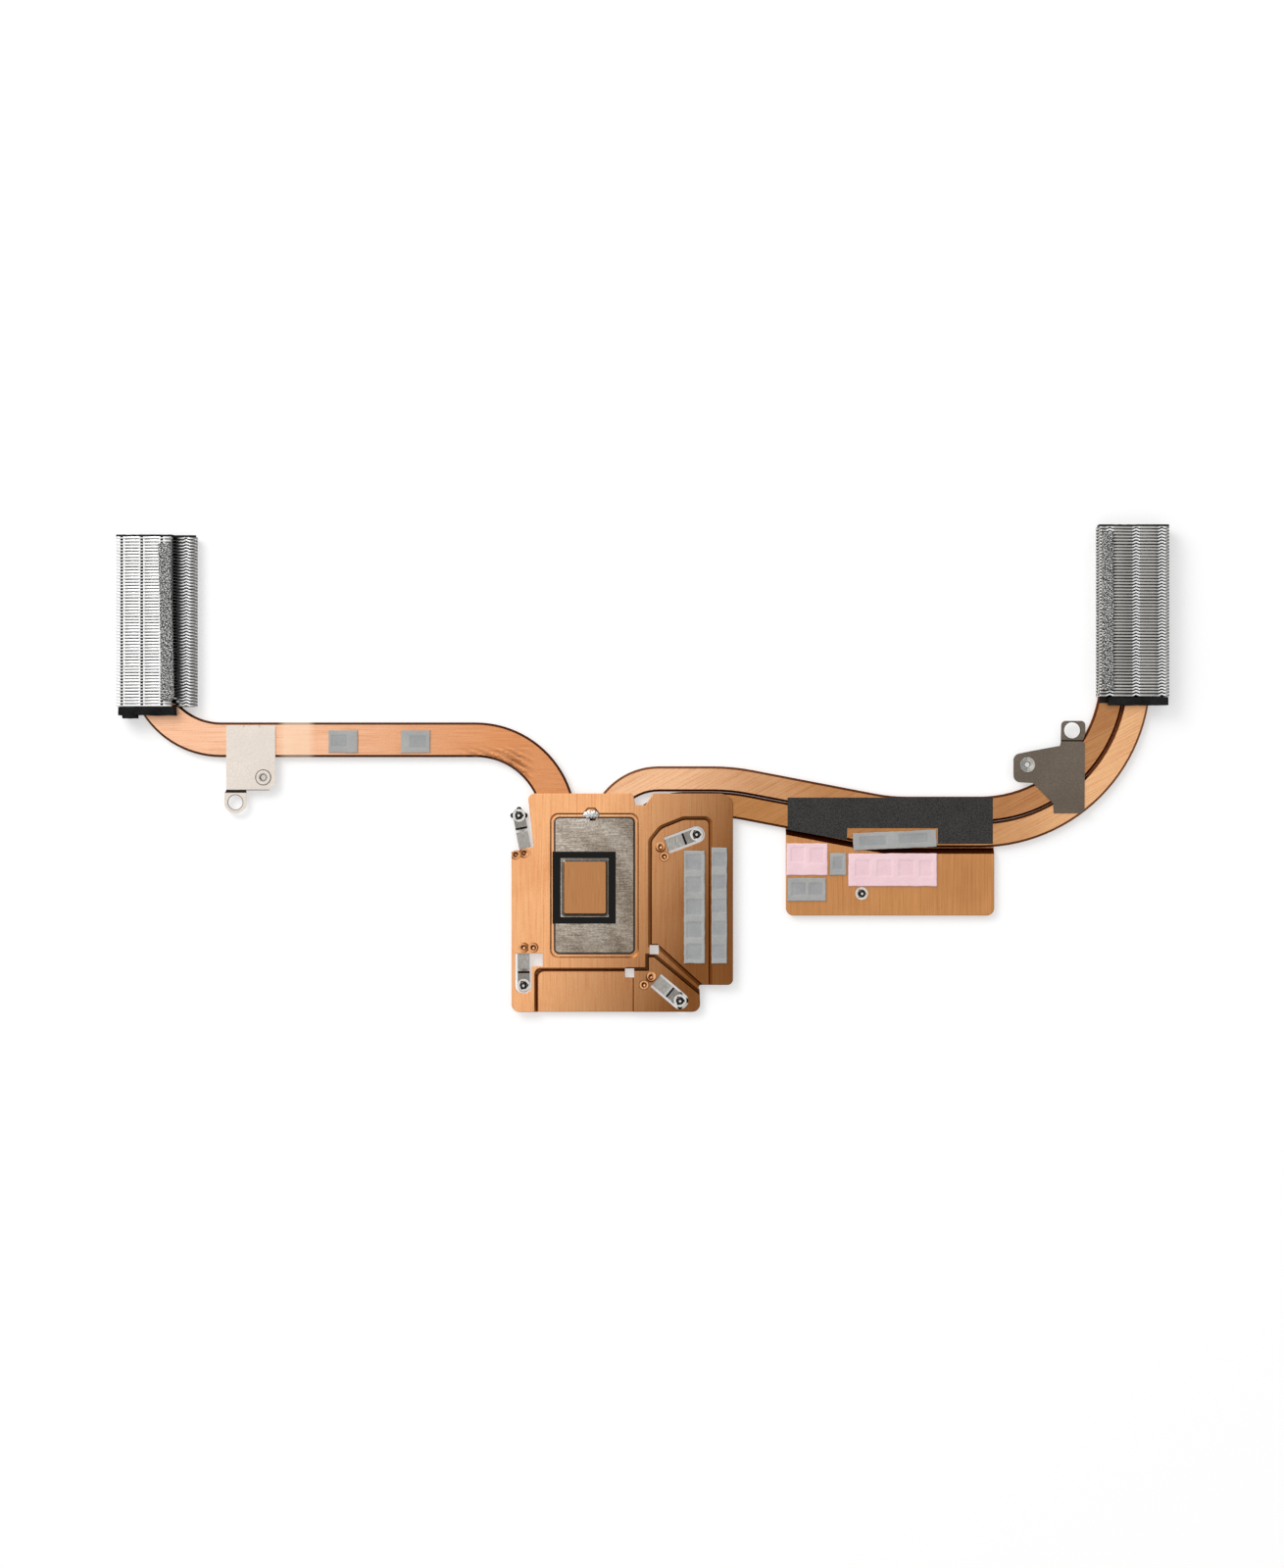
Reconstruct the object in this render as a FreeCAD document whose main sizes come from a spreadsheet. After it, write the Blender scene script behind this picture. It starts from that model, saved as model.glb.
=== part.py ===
"""Laptop cooling heatsink: two finned ends, three flat heat pipes, a base plate and a regulator plate.

The part lies with its contact side up. The origin is the middle of the raised contact face,
+Z points out of that face, +X runs along the long side and +Y towards the finned ends.
"""
import FreeCAD
import Part
import math
import os

doc = FreeCAD.newDocument("heatsink")

SIZES = {
    # heights, from the contact face down
    "pedestal_rise": 0.8,
    "block_thickness": 0.7,
    "pipe_thickness": 2.5,
    "plate_thickness": 0.5,
    "table_drop": 0.5,
    # heat pipes
    "left_pipe_width": 11.0,
    "right_pipe_width": 8.0,
    "right_pipe_gap": 0.1,
    "pipe_end_length": 5.0,
    "pipe_end_share": 0.4,
    "pipe_foot": 23.5,
    "left_pipe_at": 4.9,
    "left_pipe_lean": 15.0,
    "left_pipe_knee": 10.9,
    "left_pipe_knee_radius": 30.0,
    "left_pipe_run": 46.8,
    "left_pipe_bend": 26.3,
    "left_pipe_far": 139.4,
    "left_pipe_far_bend": 24.1,
    "left_pipe_top": 108.5,
    "right_pair_at": 8.75,
    "right_pair_run": 30.35,
    "right_pair_bend": 14.55,
    "right_outer_bend": 18.6,
    "right_pair_slope_start": 46.0,
    "right_pair_slope_end": 96.0,
    "right_pair_low_run": 20.75,
    "right_pair_slope_radius": 60.0,
    "right_pair_far": 171.15,
    "right_pair_far_bend": 46.15,
    "right_pair_top": 112.5,
    # processor block
    "block_left": 9.4,
    "block_right": 15.3,
    "block_top": 21.9,
    "block_bottom": 20.6,
    "block_corner": 1.3,
    "block_notch_width": 2.6,
    "block_notch_depth": 0.7,
    "block_notch_at": 2.0,
    "pedestal_width": 13.2,
    "pedestal_height": 16.4,
    "pedestal_corner": 0.6,
    "pedestal_bevel": 0.25,
    "gasket_thickness": 0.15,
    "gasket_width": 20.0,
    "gasket_height": 22.8,
    "gasket_shift": 0.3,
    "gasket_window_width": 15.2,
    "gasket_window_height": 18.6,
    "solder_length": 4.0,
    "solder_width": 1.3,
    "solder_height": 0.35,
    # base plate
    "plate_left": 23.3,
    "plate_right": 46.8,
    "plate_top": 29.8,
    "plate_bottom": 39.4,
    "plate_shoulder": 18.2,
    "plate_wing": 12.0,
    "plate_step_bottom": 30.8,
    "plate_foot_right": 36.5,
    "plate_corner": 2.5,
    "window_gap": 0.4,
    "rim_width": 1.3,
    "rim_depth": 0.3,
    "rim_slope": 0.4,
    "regulator_dip": 0.6,
    "foot_dip": 0.8,
    "chin_dip": 1.3,
    "dip_slope": 1.2,
    "relief_size": 2.9,
    # spring arms
    "arm_thickness": 0.4,
    "arm_end_drop": 2.9,
    "arm_end_radius": 2.2,
    "arm_bend_start": 4.8,
    "arm_bend_length": 1.5,
    "arm_root_depth": 4.3,
    "arm_root_inset": 0.9,
    "arm_root_margin": 1.3,
    "arm_shoulder": 0.5,
    "arm_reach": 10.1,
    "arm_width": 3.8,
    "slot_margin": 0.75,
    "screw_hole_clearance": 0.15,
    # rivets, screws and washers
    "rivet_setback": 1.9,
    "rivet_radius": 0.8,
    "rivet_head_radius": 1.4,
    "rivet_head_height": 0.2,
    "rivet_dimple_radius": 0.8,
    "rivet_dimple_depth": 0.45,
    "rivet_clearance": 0.02,
    "screw_radius": 1.0,
    "screw_neck_radius": 0.8,
    "screw_neck_length": 1.1,
    "screw_length": 3.6,
    "screw_tip_chamfer": 0.3,
    "screw_head_radius": 2.0,
    "screw_head_height": 0.7,
    "retainer_radius": 2.0,
    "retainer_thickness": 0.3,
    "retainer_slot_width": 0.7,
    "retainer_slot_reach": 1.5,
    "retainer_clearance": 0.02,
    "clip_thickness": 0.3,
    "clip_radius": 1.9,
    "clip_lobe_radius": 0.85,
    "clip_lobe_at": 1.9,
    # regulator plate
    "vrm_left": 63.6,
    "vrm_right": 129.6,
    "vrm_bottom": 8.9,
    "vrm_corner": 2.4,
    "vrm_drop": 2.2,
    "vrm_flange_top": 27.0,
    "vrm_pipe_gap": 0.25,
    "vrm_screw_x": 87.6,
    "vrm_screw_y": 1.9,
    "vrm_screw_length": 3.0,
    # fin stacks
    "fin_count": 55,
    "fin_pitch": 0.98,
    "fin_web": 0.25,
    "fin_flange": 0.42,
    "fin_height": 8.0,
    "left_stack_left": 147.7,
    "left_stack_step": 130.3,
    "left_stack_right": 123.1,
    "left_stack_bottom": 57.2,
    "left_stack_step_drop": 3.0,
    "right_stack_left": 162.1,
    "right_stack_right": 184.1,
    "right_stack_bottom": 60.4,
    "fin_pipe_clearance": 0.1,
    # foams and tapes
    "strip_thickness": 1.1,
    "strip_width": 3.8,
    "left_strip_gap": 2.0,
    "right_strip_gap": 1.9,
    "strip_tilt": 1.3,
    "end_foam_thickness": 2.8,
    "end_foam_margin": 0.4,
    "foam_lip_width": 4.7,
    "foam_lip_depth": 1.0,
    "tape_thickness": 0.8,
    "film_thickness": 0.1,
    # brackets
    "bracket_thickness": 0.5,
    "left_tab_drop": 0.8,
    "right_tab_drop": 0.35,
    "left_ring_radius": 2.3,
    "right_ring_radius": 2.56,
    "ring_wall": 1.2,
    "nut_radius": 2.4,
    "nut_bore": 0.85,
    "nut_shank_radius": 1.7,
    "nut_rise": 0.25,
    "nut_depth": 1.4,
    "nut_clearance": 0.02,
    # thermal pads
    "pad_thickness": 1.0,
    "thin_pad_thickness": 0.6,
    "imprint_depth": 0.3,
    "imprint_size": 5.0,
    "imprint_pitch": 7.0,
    "imprint_count": 5,
}

# Levels and spans that follow from the sizes above.
LEVELS = {
    "block_face": "-Sizes.pedestal_rise",
    "pipe_crown": "-Sizes.pedestal_rise - Sizes.block_thickness",
    "pipe_middle": "-Sizes.pedestal_rise - Sizes.block_thickness - Sizes.pipe_thickness / 2",
    "pipe_floor": "-Sizes.pedestal_rise - Sizes.block_thickness - Sizes.pipe_thickness",
    "table": "-Sizes.pedestal_rise - Sizes.block_thickness - Sizes.pipe_thickness - Sizes.table_drop",
    "plate_face": "-Sizes.pedestal_rise - Sizes.block_thickness + Sizes.plate_thickness",
    "rim_face": "-Sizes.pedestal_rise - Sizes.block_thickness + Sizes.plate_thickness - Sizes.rim_depth",
    "right_pipe_pitch": "Sizes.right_pipe_width + Sizes.right_pipe_gap",
    "bracket_face": "-Sizes.pedestal_rise - Sizes.block_thickness + Sizes.bracket_thickness",
    "vrm_fold": "Sizes.pedestal_rise + Sizes.block_thickness + Sizes.pipe_thickness - Sizes.vrm_drop",
    "stack_face": "-Sizes.pedestal_rise - Sizes.block_thickness - Sizes.pipe_thickness"
                  " - Sizes.table_drop + Sizes.fin_height",
    "left_stack_top": "Sizes.left_stack_bottom + (Sizes.fin_count - 1) * Sizes.fin_pitch"
                      " + Sizes.fin_web + Sizes.fin_flange",
    "right_stack_top": "Sizes.right_stack_bottom + (Sizes.fin_count - 1) * Sizes.fin_pitch"
                       " + Sizes.fin_web + Sizes.fin_flange",
    "screw_hole": "Sizes.screw_radius + Sizes.screw_hole_clearance",
}


def fill_sheet(name, cells, prefix=""):
    """A spreadsheet with one aliased cell a line."""
    sheet = doc.addObject("Spreadsheet::Sheet", name)
    for row, (alias, content) in enumerate(cells.items(), start=1):
        sheet.set(f"A{row}", alias)
        sheet.set(f"B{row}", prefix + str(content))
        sheet.setAlias(f"B{row}", alias)
    return sheet


sizes = fill_sheet("Sizes", SIZES)
doc.recompute()
levels = fill_sheet("Levels", LEVELS, prefix="=")
doc.recompute()


def size(alias):
    """A driving size, as the sheet holds it."""
    return float(sizes.get(alias))


def level(alias):
    """A level or span that the second sheet works out."""
    return float(levels.get(alias))


def vector(x, y, z=0.0):
    return FreeCAD.Vector(x, y, z)


def turned(x, y, degrees, origin=(0.0, 0.0)):
    """The point (x, y) turned about zero and then moved by origin."""
    angle = math.radians(degrees)
    return (
        origin[0] + x * math.cos(angle) - y * math.sin(angle),
        origin[1] + x * math.sin(angle) + y * math.cos(angle),
    )


def corner_run(corners, closed=True):
    """Lines and tangent arcs along corners, each given as (x, y, radius)."""
    count = len(corners)
    bends = []
    for i, (x, y, radius) in enumerate(corners):
        here = vector(x, y)
        if radius == 0 or (not closed and i in (0, count - 1)):
            bends.append((here, None, here))
            continue
        back = (vector(*corners[i - 1][:2]) - here).normalize()
        ahead = (vector(*corners[(i + 1) % count][:2]) - here).normalize()
        half = back.getAngle(ahead) / 2
        bisector = (back + ahead).normalize()
        centre = here + bisector * (radius / math.sin(half))
        setback = radius / math.tan(half)
        bends.append((here + back * setback, centre - bisector * radius, here + ahead * setback))
    run = []
    for i, (start, middle, end) in enumerate(bends):
        if middle is not None:
            run.append(Part.Arc(start, middle, end))
        if closed or i < count - 1:
            following = bends[(i + 1) % count][0]
            if end.distanceToPoint(following) > 1e-6:
                run.append(Part.LineSegment(end, following))
    return run


def beside(corners, offset):
    """An open run of corners moved to its left by offset, with its bends kept concentric."""
    moved = []
    for i, (x, y, radius) in enumerate(corners):
        here = vector(x, y)
        into = (here - vector(*corners[max(i - 1, 0)][:2])) if i else None
        out = (vector(*corners[i + 1][:2]) - here) if i < len(corners) - 1 else None
        into = (into or out).normalize()
        out = (out or into).normalize()
        side = vector(-into.y - out.y, into.x + out.x).normalize()
        stretch = offset / side.dot(vector(-into.y, into.x))
        leftward = into.x * out.y - into.y * out.x
        bend = radius - offset * math.copysign(1, leftward) if radius else 0
        place = here + side * stretch
        moved.append((place.x, place.y, bend))
    return moved


def rectangle(left, bottom, right, top, radius=0):
    return [(left, bottom, radius), (right, bottom, radius), (right, top, radius), (left, top, radius)]


def add_body(label):
    body = doc.addObject("PartDesign::Body", label)
    body.Label = label
    return body


def add_sketch(body, name, geometry, role="XY_Plane", offset="0"):
    """A sketch of the given edges on one of the body's own origin planes."""
    sketch = body.newObject("Sketcher::SketchObject", f"{body.Label}_{name}")
    plane = next(f for f in body.Origin.OriginFeatures if f.Role == role)
    sketch.AttachmentSupport = [(plane, "")]
    sketch.MapMode = "FlatFace"
    sketch.setExpression(".AttachmentOffset.Base.z", offset)
    sketch.addGeometry(geometry, False)
    return sketch


def add_pad(body, sketch, length):
    pad = body.newObject("PartDesign::Pad", f"{sketch.Name}_pad")
    pad.Profile = sketch
    pad.setExpression("Length", length)
    return pad


def add_pocket(body, sketch, depth=None):
    """A pocket downwards from its sketch, through everything where no depth is given."""
    pocket = body.newObject("PartDesign::Pocket", f"{sketch.Name}_pocket")
    pocket.Profile = sketch
    if depth is None:
        pocket.Type = "ThroughAll"
    else:
        pocket.setExpression("Length", depth)
    return pocket


def add_loft(body, kind, first, second):
    loft = body.newObject(f"PartDesign::{kind}Loft", f"{first.Name}_loft")
    loft.Profile = first
    loft.Sections = [second]
    loft.Ruled = True
    return loft


def circle(x, y, radius):
    return Part.Circle(vector(x, y), vector(0, 0, 1), radius)


def lift(item, height):
    """Seats an object built from zero up at a height worked out by the sheets."""
    item.setExpression(".Placement.Base.z", height)
    return item


def join(kind, label, base, tool):
    item = doc.addObject(f"Part::{kind}", label)
    item.Label = label
    item.Base = base
    item.Tool = tool
    return item


def extrude(name, geometry, height, direction=(0, 0, 1)):
    """A plain extrusion of an outline, for a boolean with another."""
    sketch = doc.addObject("Sketcher::SketchObject", f"{name}_outline")
    sketch.addGeometry(geometry, False)
    solid = doc.addObject("Part::Extrusion", name)
    solid.Base = sketch
    solid.DirMode = "Custom"
    solid.Dir = vector(*direction)
    solid.Solid = True
    solid.setExpression("LengthFwd", height)
    return solid


def repeat(label, original, places):
    """Like pieces in one node: copies of an original at (x, y, height)."""
    copies = []
    for i, (x, y, height) in enumerate(places, start=1):
        copy = doc.addObject("App::Link", f"{label}_{i}")
        copy.LinkedObject = original
        copy.LinkTransform = True
        copy.Placement = FreeCAD.Placement(vector(x, y, height), FreeCAD.Rotation())
        copies.append(copy)
    group = doc.addObject("Part::Compound", label)
    group.Label = label
    group.Links = copies
    return group


def flat_oval(width, thickness):
    """The section of a flattened round pipe, each of its two round sides drawn as three flats."""
    edge = thickness / 2
    side = edge * math.tan(math.radians(22.5))
    flat = width / 2 - edge + side
    reach = width / 2
    return corner_run([
        (-flat, -edge, 0), (flat, -edge, 0), (reach, -side, 0), (reach, side, 0),
        (flat, edge, 0), (-flat, edge, 0), (-reach, side, 0), (-reach, -side, 0),
    ])


def pipe_profile(body, name, x, y, width, thickness):
    """A pipe's section across a stretch that runs along Y."""
    sketch = add_sketch(body, name, flat_oval(width, thickness), role="XZ_Plane", offset=str(-y))
    sketch.AttachmentOffset = FreeCAD.Placement(vector(x, 0, -y), FreeCAD.Rotation())
    return sketch


def heat_pipe(label, corners, width_alias):
    """A flattened pipe along a flat route, its two ends drawn down and pinched shut."""
    body = add_body(label)
    width = size(width_alias)
    thickness = size("pipe_thickness")
    pinch = size("pipe_end_share")
    route = add_sketch(body, "route", corner_run(corners, closed=False))
    start = pipe_profile(body, "start", corners[0][0], corners[0][1], width, thickness)
    run = body.newObject("PartDesign::AdditivePipe", f"{label}_run")
    run.Profile = start
    run.Spine = route
    for name, corner, outward in (("foot", corners[0], -1), ("far", corners[-1], 1)):
        mouth = pipe_profile(body, f"{name}_mouth", corner[0], corner[1], width, thickness)
        tip = pipe_profile(
            body, f"{name}_tip", corner[0], corner[1] + outward * size("pipe_end_length"),
            width * pinch, thickness * pinch,
        )
        add_loft(body, "Additive", mouth, tip)
    return lift(body, "Levels.pipe_middle")


def left_pipe_corners():
    lean = math.radians(size("left_pipe_lean"))
    bend_x = -size("left_pipe_at") - (size("left_pipe_run") - size("left_pipe_knee")) * math.tan(lean)
    return [
        (-size("left_pipe_at"), -size("pipe_foot") + size("pipe_end_length"), 0),
        (-size("left_pipe_at"), size("left_pipe_knee"), size("left_pipe_knee_radius")),
        (bend_x, size("left_pipe_run"), size("left_pipe_bend")),
        (-size("left_pipe_far"), size("left_pipe_run"), size("left_pipe_far_bend")),
        (-size("left_pipe_far"), size("left_pipe_top") - size("pipe_end_length"), 0),
    ]


def right_pair_corners():
    """The line midway between the two right pipes."""
    return [
        (size("right_pair_at"), -size("pipe_foot") + size("pipe_end_length"), 0),
        (size("right_pair_at"), size("right_pair_run"), size("right_pair_bend")),
        (size("right_pair_slope_start"), size("right_pair_run"), size("right_pair_slope_radius")),
        (size("right_pair_slope_end"), size("right_pair_low_run"), size("right_pair_slope_radius")),
        (size("right_pair_far"), size("right_pair_low_run"), size("right_pair_far_bend")),
        (size("right_pair_far"), size("right_pair_top") - size("pipe_end_length"), 0),
    ]


def right_pipe_corners(side):
    """One right pipe, half a pitch to the left (+1) or right (-1) of the middle line.

    The pipe on the right takes its first bend wider than the pair does, so a slit opens there.
    """
    corners = beside(right_pair_corners(), side * level("right_pipe_pitch") / 2)
    if side < 0:
        corners[1] = (*corners[1][:2], size("right_outer_bend"))
    return corners


def cpu_block():
    """Nickel-plated block on the pipes, with the raised face that meets the processor."""
    body = add_body("cpu_block")
    notch_left = size("block_notch_at") - size("block_notch_width") / 2
    notch_right = size("block_notch_at") + size("block_notch_width") / 2
    notch_floor = size("block_top") - size("block_notch_depth")
    corner = size("block_corner")
    outline = [
        (-size("block_left"), -size("block_bottom"), corner),
        (size("block_right"), -size("block_bottom"), corner),
        (size("block_right"), size("block_top"), corner),
        (notch_right, size("block_top"), 0),
        (notch_right, notch_floor, 0),
        (notch_left, notch_floor, 0),
        (notch_left, size("block_top"), 0),
        (-size("block_left"), size("block_top"), corner),
    ]
    add_pad(body, add_sketch(body, "outline", corner_run(outline)), "Sizes.block_thickness")
    half_width = size("pedestal_width") / 2
    half_height = size("pedestal_height") / 2
    bevel = size("pedestal_bevel")
    corner = size("pedestal_corner")
    face = rectangle(-half_width, -half_height, half_width, half_height, corner)
    foot = rectangle(
        -half_width - bevel, -half_height - bevel, half_width + bevel, half_height + bevel, corner + bevel
    )
    add_loft(
        body, "Additive",
        add_sketch(body, "pedestal_foot", corner_run(foot), offset="Sizes.block_thickness"),
        add_sketch(body, "pedestal_face", corner_run(face),
                   offset="Sizes.block_thickness + Sizes.pedestal_rise"),
    )
    return lift(body, "Levels.pipe_crown")


def contact_gasket():
    """Black film frame round the raised face."""
    body = add_body("contact_gasket")
    half_width = size("gasket_width") / 2
    half_height = size("gasket_height") / 2
    shift = size("gasket_shift")
    outer = rectangle(-half_width - shift, -half_height, half_width - shift, half_height)
    half_width = size("gasket_window_width") / 2
    half_height = size("gasket_window_height") / 2
    inner = rectangle(-half_width - shift / 2, -half_height, half_width - shift / 2, half_height)
    add_pad(body, add_sketch(body, "frame", corner_run(outer) + corner_run(inner)), "Sizes.gasket_thickness")
    return lift(body, "Levels.block_face")


def window_outline(margin, radius, with_port):
    """The outline round the block, with the solder port's bulge where it is asked for."""
    left = -size("block_left") - margin
    right = size("block_right") + margin
    top = size("block_top") + margin
    bottom = -size("block_bottom") - margin
    port = []
    if with_port:
        middle = size("block_notch_at")
        mouth = size("block_notch_width")
        port = [
            (middle + mouth, top, 0),
            (middle + mouth / 2, top + margin, 0),
            (middle - mouth / 2, top + margin, 0),
            (middle - mouth, top, 0),
        ]
    return [(left, bottom, radius), (right, bottom, radius), (right, top, radius), *port, (left, top, radius)]


def plate_outline():
    """The base plate's edge, from its lower left corner round to the left."""
    corner = size("plate_corner")
    right = size("plate_right")
    top = size("plate_top")
    left = -size("plate_left")
    shoulder = -size("plate_shoulder")
    wing = size("plate_wing")
    notch = 17.5
    notch_floor = top - 3.7
    return [
        (left, -size("plate_bottom"), corner),
        (size("plate_foot_right"), -size("plate_bottom"), corner),
        (size("plate_foot_right") - 0.3, -size("plate_step_bottom") - 1.5, 1.0),
        (size("plate_foot_right") - 1.2, -size("plate_step_bottom"), 0.8),
        (right, -size("plate_step_bottom"), corner * 0.7),
        (right, top - 2.0, corner),
        (right - 3.2, top, corner),
        (notch + 4.1, top, 0),
        (notch + 2.3, notch_floor + 1.1, 0),
        (notch + 1.6, notch_floor, 0),
        (notch - 1.6, notch_floor, 0),
        (notch - 2.3, top, 1.6),
        (shoulder, top, 1.8),
        (shoulder + 1.9, wing + 1.0, 0),
        (left, wing - 0.7, 0),
    ]


def dip_outlines():
    """The plate's sunken fields: name, depth and outline at the plate's face."""
    edge = -size("plate_bottom") - 3.0
    regulator = [
        (19.9, -19.0, 0),
        (22.5, -19.0, 0),
        (38.6, -33.6, 0),
        (40.3, -33.6, 0),
        (40.3, 21.2, 1.6),
        (38.6, 22.6, 1.6),
        (31.0, 22.6, 4.0),
        (23.4, 19.6, 5.0),
        (19.9, 15.2, 2.5),
    ]
    foot = [
        (13.0, edge, 0),
        (40.0, edge, 0),
        (40.0, -35.6, 0),
        (22.2, -20.9, 0),
        (19.0, -20.9, 0),
        (19.0, -25.2, 0),
        (13.0, -25.2, 0),
    ]
    chin = [
        (-16.1, edge, 0),
        (16.2, edge, 0),
        (16.2, -25.4, 0),
        (-16.1, -25.4, 2.0),
    ]
    return (("regulator_dip", regulator), ("foot_dip", foot), ("chin_dip", chin))


def inset(corners, distance):
    """A closed outline moved inwards, corner by corner."""
    moved = []
    for i, (x, y, radius) in enumerate(corners):
        here = vector(x, y)
        into = (here - vector(*corners[i - 1][:2])).normalize()
        out = (vector(*corners[(i + 1) % len(corners)][:2]) - here).normalize()
        side = vector(-into.y - out.y, into.x + out.x).normalize()
        place = here + side * (distance / side.dot(vector(-into.y, into.x)))
        moved.append((place.x, place.y, radius))
    return moved


def plate_form(label):
    """A block with the plate's outline whose upper surface is the stamped face."""
    body = add_body(label)
    depth = 4.0
    outline = add_sketch(body, "outline", corner_run(plate_outline()), offset=str(-depth))
    add_pad(body, outline, str(depth))
    for name, corners in dip_outlines():
        mouth = add_sketch(body, f"{name}_mouth", corner_run(corners))
        floor = add_sketch(
            body, f"{name}_floor", corner_run(inset(corners, size("dip_slope"))), offset=f"-Sizes.{name}"
        )
        add_loft(body, "Subtractive", mouth, floor)
    return body


# The four spring arms: root (x, y), angle, the level of the plate field above the root,
# and how far to the left of the arm's line its two rivets sit.
ARMS = {
    "spring_arm_ul": {"root": (-19.1, 12.9), "angle": 100.9, "dip": None, "rivets": (0.2, 3.1)},
    "spring_arm_ur": {"root": (25.8, 13.3), "angle": 20.2, "dip": "regulator_dip", "rivets": (0.5, -3.0)},
    "spring_arm_ll": {"root": (-19.5, -20.9), "angle": -90.0, "dip": None, "rivets": (-0.3, 2.9)},
    "spring_arm_lr": {"root": (22.35, -29.4), "angle": -40.3, "dip": "foot_dip", "rivets": (0.1, -3.5)},
}
CLIPPED_ARMS = ("spring_arm_ul", "spring_arm_lr")


def arm_root_level(arm):
    """The underside of the plate where an arm is riveted on."""
    dip = size(arm["dip"]) if arm["dip"] else 0
    return level("pipe_crown") - dip


def screw_place(arm):
    return turned(size("arm_reach"), 0, arm["angle"], arm["root"])


def rivet_places(arm):
    return [turned(-size("rivet_setback"), across, arm["angle"], arm["root"]) for across in arm["rivets"]]


def folded_strip(label, plan, span, fold, thickness_alias, place, angle):
    """Thin sheet with one joggle: its plan and its side view, each extruded, and what they share.

    The plan lies in the strip's own axes, with X towards the lower end. span is where the strip
    begins and ends along X, and fold is where the joggle starts and ends and how far it drops.
    """
    thickness = size(thickness_alias)
    begin, end = span
    fold_start, fold_end, drop = fold
    side_view = [
        (begin, drop, 0), (fold_start, drop, 0), (fold_end, 0, 0), (end, 0, 0),
        (end, thickness, 0), (fold_end, thickness, 0), (fold_start, drop + thickness, 0),
        (begin, drop + thickness, 0),
    ]
    flat = extrude(f"{label}_plan", plan, f"{drop} + Sizes.{thickness_alias}")
    folded = extrude(f"{label}_side", corner_run(side_view), f"{4 * (end - begin)}", (0, 1, 0))
    folded.Symmetric = True
    folded.Base.Placement = FreeCAD.Placement(vector(0, 0), FreeCAD.Rotation(vector(1, 0), 90))
    strip = join("Common", label, flat, folded)
    strip.Placement = FreeCAD.Placement(vector(*place), FreeCAD.Rotation(vector(0, 0, 1), angle))
    return strip


def arm_floor():
    """The underside of every arm's ringed end."""
    return -size("arm_end_drop") - size("arm_thickness")


def spring_arm(label):
    """A thin steel strip: a wide root under the plate, one joggle and a ringed end."""
    arm = ARMS[label]
    half = size("arm_width") / 2
    end = size("arm_reach") + size("arm_end_radius")
    inner = -size("arm_root_inset")
    outer = -size("arm_root_depth")
    low = min(-half - size("arm_shoulder"), min(arm["rivets"]) - size("arm_root_margin"))
    high = max(half + size("arm_shoulder"), max(arm["rivets"]) + size("arm_root_margin"))
    tip = half * 0.98
    plan = corner_run([
        (outer, low, 0), (inner, low, 0), (inner, -half, 0), (end, -half, tip), (end, half, tip),
        (inner, half, 0), (inner, high, 0), (outer, high, 0),
    ])
    plan.append(circle(size("arm_reach"), 0, level("screw_hole")))
    for across in arm["rivets"]:
        plan.append(circle(-size("rivet_setback"), across, size("rivet_radius") + size("rivet_clearance")))
    start = size("arm_bend_start")
    drop = arm_root_level(arm) - size("arm_thickness") - arm_floor()
    fold = (start, start + size("arm_bend_length"), drop)
    place = (*arm["root"], arm_floor())
    return folded_strip(label, plan, (outer, end), fold, "arm_thickness", place, arm["angle"])


def arm_slot(arm):
    """The opening in the base plate that lets an arm flex."""
    half = size("arm_width") / 2 + size("slot_margin")
    end = size("arm_reach") + size("arm_end_radius") + size("slot_margin") / 2
    corners = [(0, -half, 0), (end, -half, half * 0.98), (end, half, half * 0.98), (0, half, 0)]
    return [(*turned(x, y, arm["angle"], arm["root"]), radius) for x, y, radius in corners]


def base_plate():
    """Stamped copper plate: three sunken fields, a coined window, arm slots and rivet holes."""
    form = plate_form("plate_form")
    rim = window_outline(size("window_gap") + size("rim_width"), 2.5, with_port=True)
    rim_mouth = add_sketch(form, "rim_mouth", corner_run(rim))
    rim_floor = add_sketch(form, "rim_floor", corner_run(inset(rim, size("rim_slope"))), offset="-Sizes.rim_depth")
    add_loft(form, "Subtractive", rim_mouth, rim_floor)
    cuts = {"window": window_outline(size("window_gap"), 1.6, with_port=False)}
    relief = size("relief_size")
    for name, left, bottom in (("relief_right", 20.4, -21.1), ("relief_left", 12.6, -28.5)):
        cuts[name] = rectangle(left, bottom, left + relief, bottom + relief)
    for label in ("spring_arm_ur", "spring_arm_ll", "spring_arm_lr"):
        cuts[f"{label}_slot"] = arm_slot(ARMS[label])
    root_x, root_y = ARMS["spring_arm_ll"]["root"]
    cuts["side_opening"] = rectangle(root_x + 2.0, root_y - 4.0, root_x + 6.1, root_y)
    for name, corners in cuts.items():
        add_pocket(form, add_sketch(form, name, corner_run(corners)))
    holes = [
        circle(x, y, size("rivet_radius") + size("rivet_clearance"))
        for arm in ARMS.values() for x, y in rivet_places(arm)
    ]
    add_pocket(form, add_sketch(form, "rivet_holes", holes))
    under = lift(plate_form("plate_underside"), "-Sizes.plate_thickness")
    return lift(join("Cut", "base_plate", form, under), "Levels.plate_face")


def revolve(label, outline):
    """A turned piece from its half section, given as (radius, height, rounding)."""
    body = add_body(label)
    section = add_sketch(body, "section", corner_run(outline), role="XZ_Plane")
    turn = body.newObject("PartDesign::Revolution", f"{label}_turn")
    turn.Profile = section
    turn.ReferenceAxis = (section, ["V_Axis"])
    turn.Angle = 360
    return body


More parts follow.
